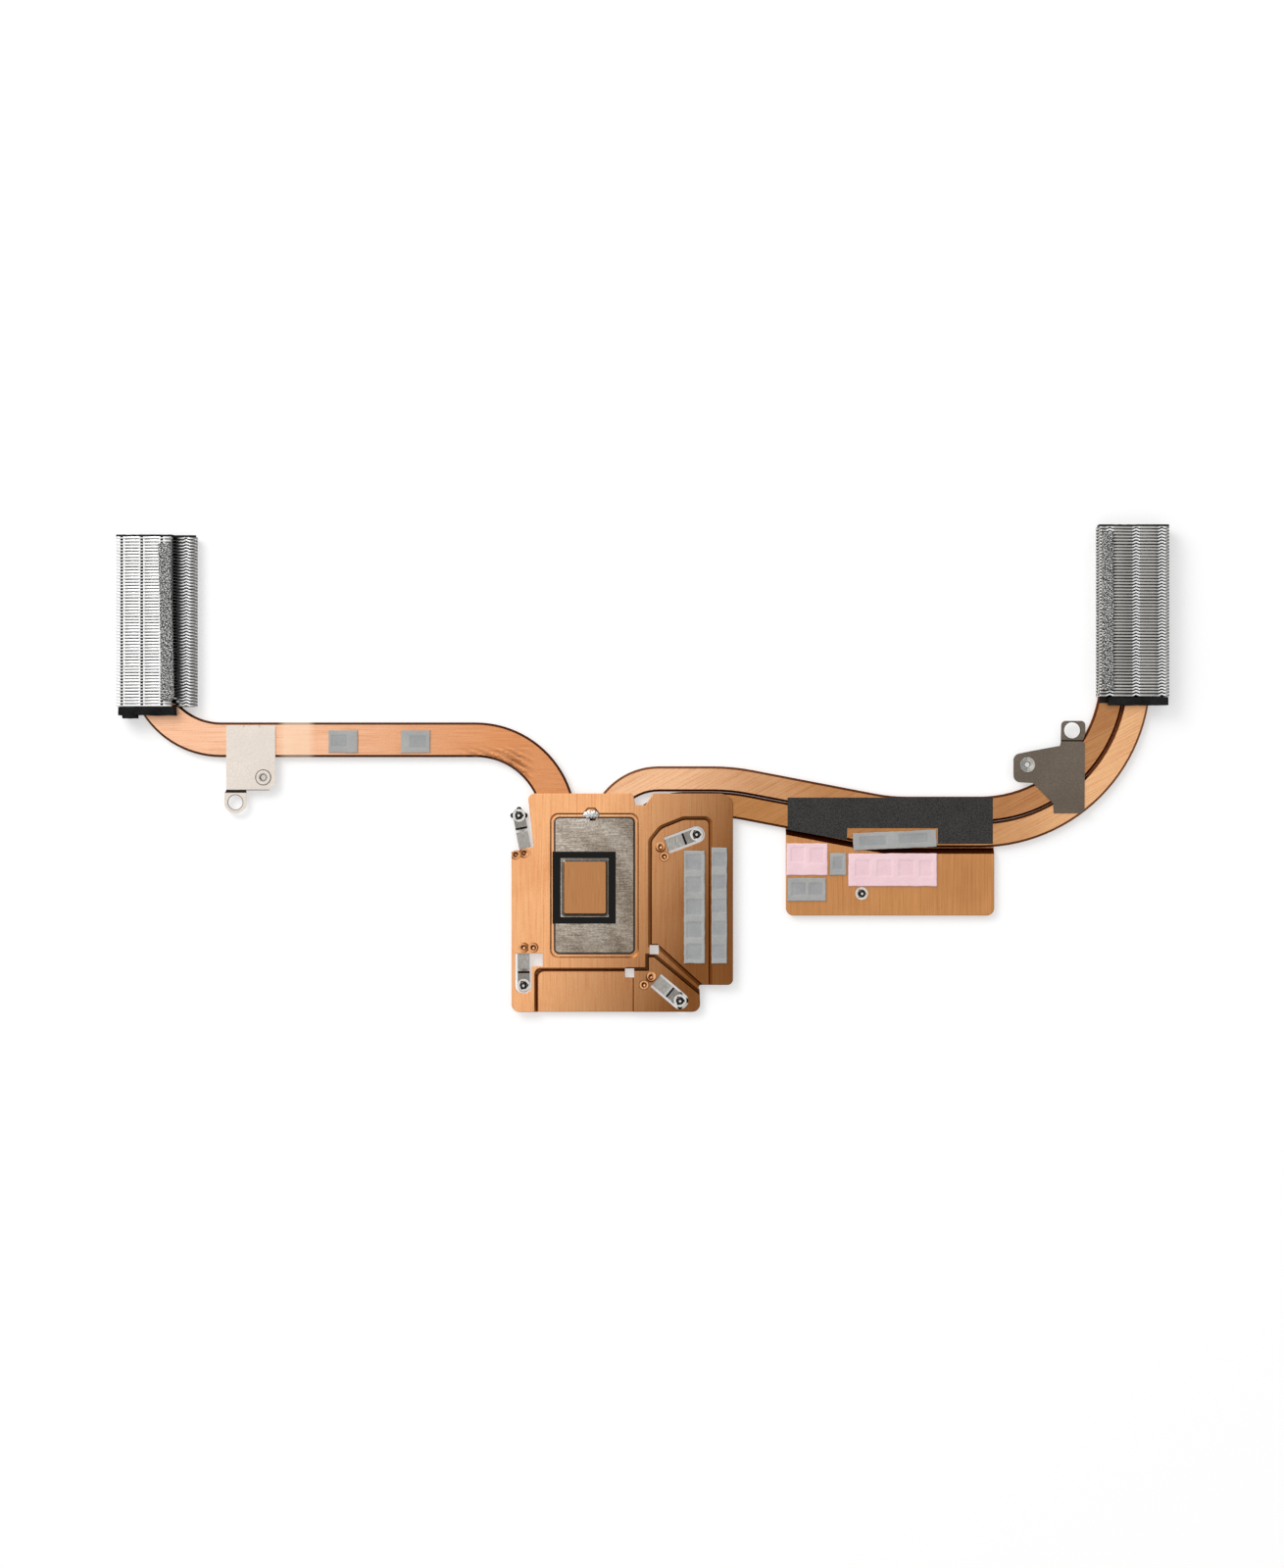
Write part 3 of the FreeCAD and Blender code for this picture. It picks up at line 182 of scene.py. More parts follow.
class Look:
    """A Principled material with helpers for the procedural nodes that feed it."""

    def __init__(self, name, metallic=0.0, roughness=0.5):
        self.name = name
        self.material = bpy.data.materials.new(name)
        self.material.use_nodes = True
        self.tree = self.material.node_tree
        self.shader = self.tree.nodes["Principled BSDF"]
        self.shader.inputs["Metallic"].default_value = metallic
        self.shader.inputs["Roughness"].default_value = roughness
        self.place = self.tree.nodes.new("ShaderNodeTexCoord").outputs["Object"]

    def node(self, kind, operation=None, **inputs):
        return add_node(self.tree, kind, operation, **inputs)

    def link(self, source, target):
        self.tree.links.new(source, target)

    def grain(self, scale, detail=4.0, roughness=0.55, stretch=(1, 1, 1), turn=0.0, distortion=0.0):
        """Noise from 0 to 1; scale is in features a metre, turn in degrees."""
        turned = self.node("ShaderNodeVectorRotate", Angle=math.radians(turn))
        turned.rotation_type = "Z_AXIS"
        mapping = self.node("ShaderNodeMapping", Scale=stretch)
        item = self.node("ShaderNodeTexNoise", Scale=scale, Detail=detail, Roughness=roughness,
                         Distortion=distortion)
        self.link(self.place, turned.inputs["Vector"])
        self.link(turned.outputs[0], mapping.inputs["Vector"])
        self.link(mapping.outputs[0], item.inputs["Vector"])
        return item.outputs["Fac"]

    def ramp(self, source, stops):
        """Stops are (place, colour) or, for a mask, (place, share)."""
        item = self.node("ShaderNodeValToRGB")
        band = item.color_ramp
        while len(band.elements) < len(stops):
            band.elements.new(0.5)
        for element, (place, colour) in zip(band.elements, stops):
            element.position = place
            element.color = srgb(*colour) if isinstance(colour, tuple) else (colour, colour, colour, 1.0)
        self.link(source, item.inputs["Fac"])
        return item.outputs["Color"]

    def feed(self, sockets, values):
        """Sets each input to a number or a colour, or links it to another node's output."""
        for socket, value in zip(sockets, values):
            if isinstance(value, tuple):
                socket.default_value = srgb(*value)
            elif isinstance(value, (int, float)):
                socket.default_value = value
            else:
                self.link(value, socket)

    def math(self, operation, first, second):
        item = self.node("ShaderNodeMath", operation)
        self.feed(item.inputs, (first, second))
        return item.outputs[0]

    def both(self, first, second):
        return self.math("MULTIPLY", first, second)

    def mix(self, *parts):
        """The sum of values, each a (value, share) pair."""
        total = self.both(*parts[0])
        for part in parts[1:]:
            total = self.math("ADD", total, self.both(*part))
        return total

    def axis(self, letter):
        item = self.node("ShaderNodeSeparateXYZ")
        self.link(self.place, item.inputs[0])
        return item.outputs[letter]

    def across(self, slant):
        """x - slant * y, in metres."""
        return self.math("SUBTRACT", self.axis("X"), self.both(self.axis("Y"), slant))

    def between(self, value, start, end, low=0.0, high=1.0):
        """low at start and high at end, in a straight line, and level beyond them."""
        item = self.node("ShaderNodeMapRange", From_Min=start, From_Max=end, To_Min=low, To_Max=high)
        self.link(value, item.inputs["Value"])
        return item.outputs[0]

    def band(self, value, low, high, soft=0.0001):
        """1 between low and high, 0 outside, with soft edges; in metres."""
        rise = self.between(value, low - soft, low + soft)
        return self.both(rise, self.between(value, high + soft, high - soft))

    def mark(self, name):
        """A share from 0 to 1 that is stored in the mesh."""
        item = self.node("ShaderNodeAttribute")
        item.attribute_name = name
        return item.outputs["Fac"]

    def reach(self, places):
        """How far a point lies, in plan, from the nearest of the places (x, y, ...) in millimetres."""
        flat = self.node("ShaderNodeCombineXYZ")
        self.link(self.axis("X"), flat.inputs["X"])
        self.link(self.axis("Y"), flat.inputs["Y"])
        closest = 1.0
        for x, y, *_ in places:
            away = self.node("ShaderNodeVectorMath", "DISTANCE")
            self.link(flat.outputs[0], away.inputs[0])
            away.inputs[1].default_value = (x * MM, y * MM, 0.0)
            closest = self.math("MINIMUM", away.outputs["Value"], closest)
        return closest

    def leaning(self, low, high, soft=0.03):
        """1 where a face leans: its normal's height, up or down, is between low and high."""
        parts = self.node("ShaderNodeSeparateXYZ")
        self.link(self.node("ShaderNodeNewGeometry").outputs["True Normal"], parts.inputs[0])
        return self.band(self.math("ABSOLUTE", parts.outputs["Z"], 0.0), low, high, soft)

    def blend(self, factor, first, second, mode="MIX"):
        item = self.node("ShaderNodeMix")
        item.data_type = "RGBA"
        item.blend_type = mode
        colours = [socket for socket in item.inputs if socket.type == "RGBA"]
        self.feed([item.inputs["Factor"], *colours], (factor, first, second))
        return next(socket for socket in item.outputs if socket.type == "RGBA")

    def darkened(self, mask, base, colour):
        """A colour multiplied by another where the mask is 1."""
        return self.blend(mask, base, self.blend(1.0, base, colour, "MULTIPLY"))

    def colour(self, source):
        self.link(source, self.shader.inputs["Base Color"])

    def base(self):
        return self.shader.inputs["Base Color"].links[0].from_socket

    def tint(self, mask, colour):
        """Darkens what is already there by a colour, where the mask is 1."""
        self.colour(self.darkened(mask, self.base(), colour))

    def paint(self, mask, colour):
        """Covers what is already there with a colour, where the mask is 1."""
        self.colour(self.blend(mask, self.base(), colour))

    def gloss(self, source, low, high):
        """Roughness that follows a value from 0 to 1."""
        self.link(self.between(source, 0.0, 1.0, low, high), self.shader.inputs["Roughness"])

    def round_edges(self, radius):
        """Shades sharp edges as if they had this radius, in metres."""
        item = self.node("ShaderNodeBevel", Radius=radius)
        item.samples = 6
        first = self.shader.inputs["Normal"]
        while first.links:
            first = first.links[0].from_node.inputs["Normal"]
        self.link(item.outputs[0], first)

    def bump(self, source, height, strength=0.6):
        """Relief of the given height in metres, stacked on any relief that is already there."""
        item = self.node("ShaderNodeBump", Strength=strength, Distance=height)
        self.link(source, item.inputs["Height"])
        slot = self.shader.inputs["Normal"]
        if slot.links:
            self.link(slot.links[0].from_socket, item.inputs["Normal"])
        self.link(item.outputs[0], slot)


# Where the left stack steps down from its tall fins to its short ones, in millimetres along x.
LEFT_STEP = -130.3


def clouds(low, high, most):
    """Ramp stops for a mask that rises from nothing to most."""
    return [(low, 0.0), (high, most)]


def copper(name, light, middle, dark, turn=0.0, streak=4800.0, rough=(0.30, 0.48), fade=None):
    """Satin copper, brushed along one direction, with slow tarnish and fine speckle.

    fade is (start, end, colour, slant): the metal darkens by the colour between two places on the
    line x - slant * y, in metres.
    """
    look = Look(name, metallic=1.0)
    streaks = look.grain(streak, 5.0, 0.65, stretch=(1, 0.012, 1), turn=turn)
    speckle = look.grain(3600.0, 3.0, 0.7)
    tarnish = look.grain(45.0, 5.0, 0.55, distortion=0.6)
    mixed = look.mix((streaks, 0.7), (speckle, 0.3))
    base = look.ramp(mixed, [(0.34, dark), (0.5, middle), (0.66, light)])
    base = look.blend(look.ramp(tarnish, clouds(0.48, 0.80, 0.45)), base, dark)
    if fade:
        start, end, shade, slant = fade
        base = look.darkened(look.between(look.across(slant), start, end), base, shade)
    look.colour(base)
    look.gloss(mixed, *rough)
    look.bump(streaks, 0.00002, 0.3)
    look.bump(speckle, 0.00002, 0.3)
    return look


def steel(name, light, dark, rough=(0.28, 0.45), stretch=0.2, scale=1600.0):
    """Brushed or tumbled steel with fine grain."""
    look = Look(name, metallic=1.0)
    fine = look.grain(scale, 4.0, 0.6, stretch=(1, stretch, 1))
    slow = look.grain(60.0, 3.0, 0.5)
    base = look.ramp(fine, [(0.3, dark), (0.7, light)])
    look.colour(look.blend(look.ramp(slow, clouds(0.4, 0.7, 0.4)), base, dark))
    look.gloss(fine, *rough)
    look.bump(fine, 0.00003, 0.4)
    return look


def soft_matter(name, light, dark, rough=0.75, pores=2200.0, depth=0.00006, pressed=None, shine=0.5,
                cloud=0.5):
    """Silicone, foam or film: matt, faintly mottled, with small pores.

    pressed is the colour of the squares that parts have left in a pad; cloud is the slow mottle's share.
    """
    look = Look(name, roughness=rough)
    look.shader.inputs["Specular IOR Level"].default_value = shine
    pore = look.grain(pores, 3.0, 0.6)
    slow = look.grain(150.0, 4.0, 0.6)
    base = look.ramp(look.mix((pore, 1.0 - cloud), (slow, cloud)), [(0.35, dark), (0.65, light)])
    if pressed:
        base = look.darkened(look.mark("pressed"), base, pressed)
    look.colour(base)
    look.bump(pore, depth, 0.5)
    return look


def block_look():
    """Nickel plate over copper, darkened towards the right by painted shade; the lapped contact face on top
    is bare copper.
    """
    look = Look("contact_block", metallic=1.0)
    mottle = look.grain(1900.0, 5.0, 0.7)
    drawn = look.grain(3600.0, 3.0, 0.6, stretch=(0.06, 1, 1))
    sweeps = look.grain(90.0, 2.0, 0.45, stretch=(1, 0.4, 1), turn=-35.0, distortion=0.3)
    mixed = look.mix((mottle, 0.35), (drawn, 0.30), (sweeps, 0.35))
    nickel = look.ramp(mixed, [(0.40, (132, 119, 106)), (0.5, (190, 177, 163)), (0.60, (246, 240, 230))])
    # Painted shade: the nickel darkens towards the right, away from the lamp.
    nickel = look.darkened(look.between(look.across(0.15), -0.006, 0.014), nickel, (186, 180, 172))
    lapped = look.grain(8600.0, 4.0, 0.6, stretch=(1, 0.015, 1))
    bare = look.ramp(lapped, [(0.34, (180, 124, 78)), (0.66, (204, 144, 94))])
    top = look.band(look.axis("Z"), -0.00012, 0.001, 0.00004)
    look.colour(look.blend(top, nickel, bare))
    look.gloss(mixed, 0.24, 0.42)
    look.bump(mottle, 0.00003, 0.35)
    look.bump(lapped, 0.00001, 0.3)
    look.round_edges(0.00035)
    return look


def fin_look(name, light, dark, metallic, top, sides, wall=None):
    """Thin rolled aluminium, bright where the light reaches and painted dark as shade between the fins.

    top is the level, in metres, of the bright head flanges and sides the stack's bright outer faces in x.
    wall is where a taller stack stands in x, beside which these fins are painted dark as its shadow.
    """
    look = Look(name, metallic=metallic)
    rolled = look.grain(1800.0, 3.0, 0.6, stretch=(0.05, 1, 1))
    slow = look.grain(90.0, 3.0, 0.5)
    base = look.ramp(look.mix((rolled, 0.5), (slow, 0.5)), [(0.3, dark), (0.7, light)])
    inside = look.band(look.axis("X"), sides[0] + 0.0005, sides[1] - 0.0005, 0.0002)
    depth = look.between(look.axis("Z"), top - 0.0003, top - 0.0012)
    above_feet = look.band(look.axis("Z"), -0.0040, 1.0, 0.0002)
    depth_shade = look.both(look.both(depth, inside), above_feet)
    # Painted highlight on the chevrons' heads and painted shade on the locks' flanges, from marks stored in
    # the fins.
    base = look.blend(look.mark("lit"), base, (255, 255, 255))
    base = look.blend(look.mark("shaded"), base, (26, 25, 24))
    # Painted shade deep between the fins.
    look.colour(look.blend(depth_shade, base, (20, 19, 18)))
    # Painted shadow that the taller stack casts on these fins.
    if wall is not None:
        look.paint(look.between(look.axis("X"), wall + 0.0046, wall + 0.0008), (30, 29, 28))
    look.gloss(rolled, 0.28, 0.45)
    look.bump(rolled, 0.00002, 0.3)
    return look


def speckled_foam():
    """Conductive foam: woven metal thread over gray foam, light and dark specks."""
    look = Look("foam_gray", roughness=0.7)
    specks = look.grain(3700.0, 0.0, 0.5, stretch=(1.0, 0.8, 1.0), turn=35.0)
    fine = look.grain(6200.0, 1.0, 0.8)
    mixed = look.mix((specks, 0.65), (fine, 0.35))
    look.colour(look.ramp(mixed, [(0.48, (14, 14, 14)), (0.54, (92, 92, 91)), (0.60, (250, 250, 247))]))
    look.bump(mixed, 0.0002, 0.8)
    return look


def pipe_look(name, light, middle, dark, turn, streak, fade, shoulders, wrinkled=False):
    """Copper tube with drawn grain and rounded shoulders darkened by painted shade.

    shoulders is (steepest, colour): how far up the shoulder's normal turns while it is still painted dark,
    and the colour of that painted shade.
    Round the processor block, where the tube shows through the gap, and under the fins it is painted dark as
    shade. A wrinkled tube has creases on the inner side of its bend and a pale patch where tape was rubbed
    off.
    """
    look = copper(name, light, middle, dark, turn=turn, streak=streak, rough=(0.30, 0.46), fade=fade)
    x, y = look.axis("X"), look.axis("Y")
    steepest, shade = shoulders
    # Painted shade on the tube's rounded shoulders.
    look.tint(look.leaning(0.15, steepest), shade)
    block_low, block_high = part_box("cpu_block")
    margin = 0.0006
    beside = look.both(look.band(x, block_low.x - margin, block_high.x + margin),
                       look.band(y, block_low.y - margin, block_high.y + margin))
    # Painted shade where the tube shows through the gap round the block.
    look.tint(beside, (70, 52, 40))
    stack_low = min(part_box("left_fin_stack")[0].y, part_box("right_fin_stack")[0].y)
    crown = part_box("left_heatpipe")[1].z
    under_fins = look.both(look.band(y, stack_low + 0.0012, 1.0),
                           look.band(look.axis("Z"), crown - 0.0004, 1.0))
    # Painted shade on the tube under the fins, seen between them.
    look.paint(under_fins, (46, 44, 42))
    if wrinkled:
        look.paint(look.both(look.band(x, -0.0962, -0.0866, 0.0012), 0.5), (255, 226, 196))
        along = look.mix((x, 0.55), (y, 1.0))
        phase = look.mix((along, 2600.0), (look.grain(240.0, 3.0, 0.6), 7.0))
        near = look.both(look.band(x, -0.0375, -0.0190, 0.003), look.band(y, 0.0330, 0.0425, 0.0025))
        creases = look.both(look.math("SINE", phase, 0.0), near)
        look.bump(creases, 0.00022, 0.9)
        look.tint(look.both(creases, 0.7), (150, 118, 92))
    return look


def bracket_look(name, light, dark, fold, length, rings):
    """Fine-grained plated steel with a dark line of painted shade at y = fold, where its tab is folded down.

    rings are (x, y, radius, width) of fine dark lines of painted shade round its holes, in millimetres.
    """
    look = steel(name, light, dark, stretch=1.0, scale=3200.0, rough=(0.4, 0.55))
    # Painted shade along the fold.
    look.tint(look.band(look.axis("Y"), fold, fold + length, 0.0001), (60, 56, 52))
    # Painted shade round the edges of the holes and the nut.
    for x, y, radius, width in rings:
        ring = look.band(look.reach([(x, y)]), radius * MM, (radius + width) * MM, 0.00004)
        look.tint(ring, (130, 124, 118))
    # Painted shade on the sloped faces.
    look.tint(look.leaning(0.05, 0.9), (150, 145, 140))
    return look


def arm_look(node):
    """Brushed spring steel, painted darker at its foot as shade; its joggle has painted shade below and a
    painted highlight above.

    The hole below the washer is painted dark as shade.
    """
    look = steel(f"{node}_steel", (196, 192, 186), (148, 143, 137), stretch=0.3, scale=2600.0)
    low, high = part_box(node)
    sheet = 0.0004
    foot, crown = low.z + sheet, high.z
    middle = foot + 0.45 * (crown - foot)
    slope = look.leaning(0.3, 0.985, 0.01)
    level = look.axis("Z")
    # Painted shade on the foot, which lies low in the plate's slot.
    look.tint(look.band(level, foot - 2 * sheet, foot, 0.00003), (178, 175, 172))
    # The joggle's slope: painted shade on its lower half, painted highlight on its upper half.
    dark_half = look.band(level, foot - sheet, middle, 0.00005)
    look.paint(look.both(slope, dark_half), (44, 42, 40))
    bright_half = look.band(level, middle, crown, 0.00005)
    look.paint(look.both(slope, bright_half), (250, 249, 246))
    # Painted shade in the hole under the washer.
    hole = look.band(look.reach(screw_axes("cpu_screws")), -0.001, 0.00165, 0.00006)
    look.paint(hole, (24, 22, 20))
    return look


def washer_look():
    """Bright plated steel, painted dark as shade where the slots meet round the screw."""
    look = steel("washer_steel", (255, 253, 248), (206, 202, 196), scale=3200.0, rough=(0.2, 0.36))
    axes = screw_axes("cpu_screws") + screw_axes("vrm_screw")
    # Painted shade in the slots round the screw.
    look.paint(look.band(look.reach(axes), -0.001, 0.00126, 0.00006), (26, 23, 21))
    return look


def rivet_look(places):
    """Pressed copper: a bright rim round a dimple painted dark as shade, with a bright middle."""
    look = copper("rivet_copper", (255, 206, 156), (236, 172, 120), (178, 118, 74))
    # Painted shade in the dimple.
    look.tint(look.band(look.reach(places), 0.00038, 0.00086, 0.00008), (112, 82, 60))
    return look


# The plate's slopes: how steep (lowest and highest normal height) and between which depths in metres
# below the plate's face each holds a dark line of painted shade.
SLOPES = (
    (0.87, 0.93, 0.00070, 0.00040),
    (0.82, 0.86, 0.00090, 0.00058),
    (0.79, 0.81, 0.00032, 0.00010),
    (0.60, 0.75, 0.00090, 0.00050),
)


def plate_look(rivets):
    """Satin copper with painted shade: it darkens to the right, with dark lines along its steps and round
    its rivets.
    """
    # The fade is painted shade: the plate darkens towards the right, away from the lamp.
    look = copper("copper_plate", (255, 204, 152), (255, 188, 132), (226, 146, 92),
                  fade=(-0.006, 0.043, (138, 121, 97), 0.4))
    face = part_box("base_plate")[1].z
    # Painted shade on the plate's slopes and along its steps.
    look.tint(look.leaning(0.3, 0.955), (212, 192, 170))
    for low, high, deep, shallow in SLOPES:
        line = look.band(look.axis("Z"), face - deep, face - shallow, 0.00006)
        look.tint(look.both(look.leaning(low, high, 0.01), line), (130, 100, 74))
    # Painted shade round the rivets.
    look.tint(look.band(look.reach(rivets), 0.0, 0.00160, 0.0001), (150, 122, 96))
    look.round_edges(0.00030)
    return look


def regulator_look():
    look = copper("vrm_copper", (226, 164, 108), (212, 150, 94), (184, 122, 74))
    # Painted shade on the plate's slopes.
    look.tint(look.leaning(0.3, 0.955), (140, 112, 86))
    look.round_edges(0.00030)
    return look


def pipe_looks():
    right_shoulders = (0.75, (132, 104, 80))
    return [
        pipe_look("left_pipe", (255, 206, 174), (244, 192, 156), (218, 154, 112), 90.0, 5400.0,
                  (-0.094, -0.028, (236, 206, 172), 0.0), (0.83, (96, 72, 54)), wrinkled=True),
        pipe_look("inner_pipe", (255, 214, 172), (252, 196, 152), (206, 142, 94), 62.0, 4500.0,
                  (0.030, 0.074, (204, 186, 160), 0.0), right_shoulders),
        pipe_look("outer_pipe", (255, 210, 158), (255, 196, 144), (214, 150, 98), 62.0, 4500.0,
                  (0.160, 0.110, (196, 178, 152), 0.0), right_shoulders),
    ]


def fin_looks():
    left_low, left_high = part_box("left_fin_stack")
    right_low, right_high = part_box("right_fin_stack")
    step = LEFT_STEP * MM
    step_down = (TALL_FIN - SHORT_FIN) * MM
    # Three copies of one aluminium, lighter or greyer for how the lamp falls on each stack: the left tall
    # fins are painted near-white, with less metal, as the lamp's reflection.
    return [
        fin_look("aluminium_left", (255, 255, 254), (240, 240, 239), 0.35, left_high.z, (left_low.x, step)),
        fin_look("aluminium_short", (250, 249, 247), (206, 205, 203), 0.85, left_high.z - step_down,
                 (step, left_high.x), wall=step),
        fin_look("aluminium_right", (206, 204, 200), (176, 174, 170), 0.8, right_high.z,
                 (right_low.x, right_high.x)),
    ]


# Middles of the round holes in the brackets, in millimetres.
LEFT_RING = (-110.8, 27.0)
LEFT_BORE = (-101.9, 34.9)
RIGHT_RING = (154.2, 49.8)


def bracket_looks():
    return [
        bracket_look("bracket_light", (242, 232, 222), (208, 198, 188), 0.0304, 0.0006,
                     [(*LEFT_RING, 2.2, 0.3), (*LEFT_BORE, 2.4, 0.15)]),
        bracket_look("bracket_dark", (138, 126, 112), (98, 88, 78), 0.0463, 0.0004,
                     [(*RIGHT_RING, 2.5, 0.25)]),
    ]


ARMS = ("spring_arm_ul", "spring_arm_ur", "spring_arm_ll", "spring_arm_lr")


def make_looks():
    rivets = screw_axes("arm_rivets", apart=0.0024)
    looks = [
        plate_look(rivets),
        regulator_look(),
        *pipe_looks(),
        rivet_look(rivets),
        block_look(),
        *fin_looks(),
        *(arm_look(node) for node in ARMS),
        *bracket_looks(),
        steel("fastener_steel", (244, 242, 236), (196, 192, 186), scale=3200.0, rough=(0.2, 0.36)),
        washer_look(),
        # A copy of the fastener steel painted dark as shade, for screw threads, nut bores and the nuts'
        # darkened dots and ring walls.
        steel("steel_in_shade", (58, 54, 50), (30, 28, 26), scale=3200.0),
        # A darker copy of the block's nickel: painted shade on the cove round the contact face.
        steel("flank_nickel_in_shade", (132, 124, 114), (88, 80, 72), scale=2400.0, rough=(0.14, 0.26)),
        # A dark brown of painted shade for the gap round the block.
        soft_matter("gap_shade", (64, 46, 34), (34, 24, 18), rough=0.4),
        steel("solder", (240, 238, 234), (186, 184, 180), scale=900.0, stretch=1.0, rough=(0.2, 0.4)),
        soft_matter("clip_black", (16, 16, 17), (6, 6, 7), rough=0.6, shine=0.15),
        soft_matter("gasket_black", (14, 11, 9), (5, 4, 4), rough=0.6, pores=3600.0, shine=0.2),
        soft_matter("black_film", (72, 71, 69), (18, 17, 17), rough=0.6, pores=3000.0, depth=0.0001,
                    shine=0.2, cloud=0.1),
        speckled_foam(),
        soft_matter("foam_black", (42, 42, 42), (12, 12, 12), rough=0.95, pores=3000.0, depth=0.00015,
                    shine=0.15),
        soft_matter("tape_black", (26, 26, 26), (10, 10, 10), rough=0.6, shine=0.2),
        soft_matter("pad_gray", (180, 180, 178), (158, 158, 157), pressed=(240, 241, 244), shine=0.3),
        soft_matter("pad_pink", (252, 219, 225), (240, 203, 210), pressed=(253, 251, 252), shine=0.3),
    ]
    return {look.name: look.material for look in looks}


# Carried-over solids: material and a small machined edge, in millimetres

KEPT = {
    "base_plate": ("copper_plate", 0.06), "vrm_plate": ("vrm_copper", 0.06),
    "cpu_block": ("contact_block", 0.08), "contact_gasket": ("gasket_black", 0.04),
    "arm_rivets": ("rivet_copper", 0.05), "screw_retainers": ("washer_steel", 0.05),
    "lobed_clips": ("clip_black", 0.06), "left_heatpipe": ("left_pipe", 0.45),
    "right_inner_heatpipe": ("inner_pipe", 0.45), "right_outer_heatpipe": ("outer_pipe", 0.45),
    "left_bracket": ("bracket_light", 0.07), "right_bracket": ("bracket_dark", 0.07),
    "pipe_cover_film": ("black_film", 0.02), **{node: (f"{node}_steel", 0.06) for node in ARMS},
}


def dress_kept(looks):
    for name, (look, edge) in KEPT.items():
        node = NODES[name]
        node.data.materials.clear()
        node.data.materials.append(looks[look])
        bevel = node.modifiers.new("edge", "BEVEL")
        bevel.width = edge * MM
        bevel.segments = 3
        bevel.limit_method = "ANGLE"
        bevel.angle_limit = math.radians(40)
        bevel.harden_normals = False


# New pieces

# In millimetres: how softly a pad sags round an imprint, and how far apart its points are.
SAG = 0.07
GRID_STEP = 0.25


def add_piece(name, bm, material, smooth_angle=40.0):
    """Turns a bmesh, in metres, into a piece that rides with the heatsink."""
    mesh = bpy.data.meshes.new(name)
    bm.normal_update()
    bm.to_mesh(mesh)
    bm.free()
    piece = add_object(name, mesh)
    mesh.materials.append(material)
    for polygon in mesh.polygons:
        polygon.use_smooth = True
    mesh.set_sharp_from_angle(angle=math.radians(smooth_angle))
    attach(piece, "root")
    return piece


def bridge(bm, first, second):
    """Faces between two closed rings with as many points each."""
    for k, vert in enumerate(first):
        m = (k + 1) % len(first)
        bm.faces.new((vert, first[m], second[m], second[k]))


def replace(piece, node):
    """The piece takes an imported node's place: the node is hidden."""
    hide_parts(node)


def spread(length, step, margins):
    """Places across a length, about its middle: evenly spaced, with closer ones by both ends."""
    half = length / 2
    inner = half - margins[-1]
    count = max(1, round(2 * inner / step))
    ends = [half - margin for margin in (0.0, *margins[:-1])]
    return [-x for x in ends] + [inner * (2 * i / count - 1) for i in range(count + 1)] + ends[::-1]


def soft_slab(name, node, looks, slot, size, tilt=0.0, shift=(0.0, 0.0), edge=0.3, wave=0.04, imprints=()):
    """A soft pad in its solid's place: rounded rim, faint waves, and sunk squares where parts pressed it.

    Its look has its slot's name. size is the pad's own width and length in millimetres; imprints are
    (x, y, half width, half length, depth) in the pad's own millimetres from its middle.
    """
    low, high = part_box(node)
    middle = (low + high) / 2 + Vector((shift[0] * MM, shift[1] * MM, 0.0))
    thickness = (high.z - low.z) / MM
    width, length = size
    turn = math.radians(tilt)
    seed = Vector((rng.random() * 50, rng.random() * 50, 0))
    margins = (edge * 0.25, edge * 0.6, edge)

    def shares(x, y):
        """Each imprint's depth, and how far inside it a point lies, from 0 to 1."""
        found = []
        for px, py, half_width, half_length, depth in imprints:
            beyond = max(abs(x - px) - half_width, abs(y - py) - half_length)
            found.append((depth, 0.5 - 0.5 * math.tanh(beyond / SAG)))
        return found

    def top_level(x, y):
        inset = min(width / 2 - abs(x), length / 2 - abs(y))
        level = thickness
        if inset < edge:
            level -= edge - math.sqrt(max(0.0, edge * edge - (edge - inset) ** 2))
        level += wave * (noise.noise(Vector((x, y, 0)) * 0.35 + seed) - 0.4) * min(1.0, inset / edge)
        for depth, share in shares(x, y):
            level -= depth * share
        return min(level, thickness)

    def place(x, y):
        """Where a point of the pad lies in plan; the cut rim wanders a little."""
        pull = 0.12 * (noise.noise(Vector((x, y, 3)) * 0.5 + seed) - 0.5) - 0.03
        px, py = x * (1 + 2 * pull / width), y * (1 + 2 * pull / length)
        return px * math.cos(turn) - py * math.sin(turn), px * math.sin(turn) + py * math.cos(turn)

    bm = bmesh.new()
    grid = []
    pressed = []
    for x in spread(width, GRID_STEP, margins):
        column = []
        for y in spread(length, GRID_STEP, margins):
            wx, wy = place(x, y)
            height = low.z + top_level(x, y) * MM
            column.append(bm.verts.new((middle.x + wx * MM, middle.y + wy * MM, height)))
            pressed.append(max((share for _, share in shares(x, y)), default=0.0))
        grid.append(column)
    close_slab(bm, grid, low.z)
    piece = add_piece(name, bm, looks[slot], 60.0)
    layer = piece.data.attributes.new("pressed", "FLOAT", "POINT")
    for index, share in enumerate(pressed):
        layer.data[index].value = share
    replace(piece, node)


def close_slab(bm, grid, floor):
    """Faces over a grid of points, walls down from its rim and a bottom face."""
    for column, following in zip(grid, grid[1:]):
        for j in range(len(column) - 1):
            bm.faces.new((column[j], following[j], following[j + 1], column[j + 1]))
    rim = [column[0] for column in grid] + grid[-1][1:]
    rim += [column[-1] for column in reversed(grid[:-1])] + grid[0][-2:0:-1]
    foot = [bm.verts.new((v.co.x, v.co.y, floor)) for v in rim]
    bridge(bm, foot, rim)
    bm.faces.new(list(reversed(foot)))


def row_of_squares(count, pitch, half, depth, jitter=0.15):
    """Imprints in a row along a pad."""
    marks = []
    for i in range(count):
        along = (i - (count - 1) / 2) * pitch
        marks.append((rng.uniform(-jitter, jitter), along + rng.uniform(-jitter, jitter), half, half, depth))
    return marks


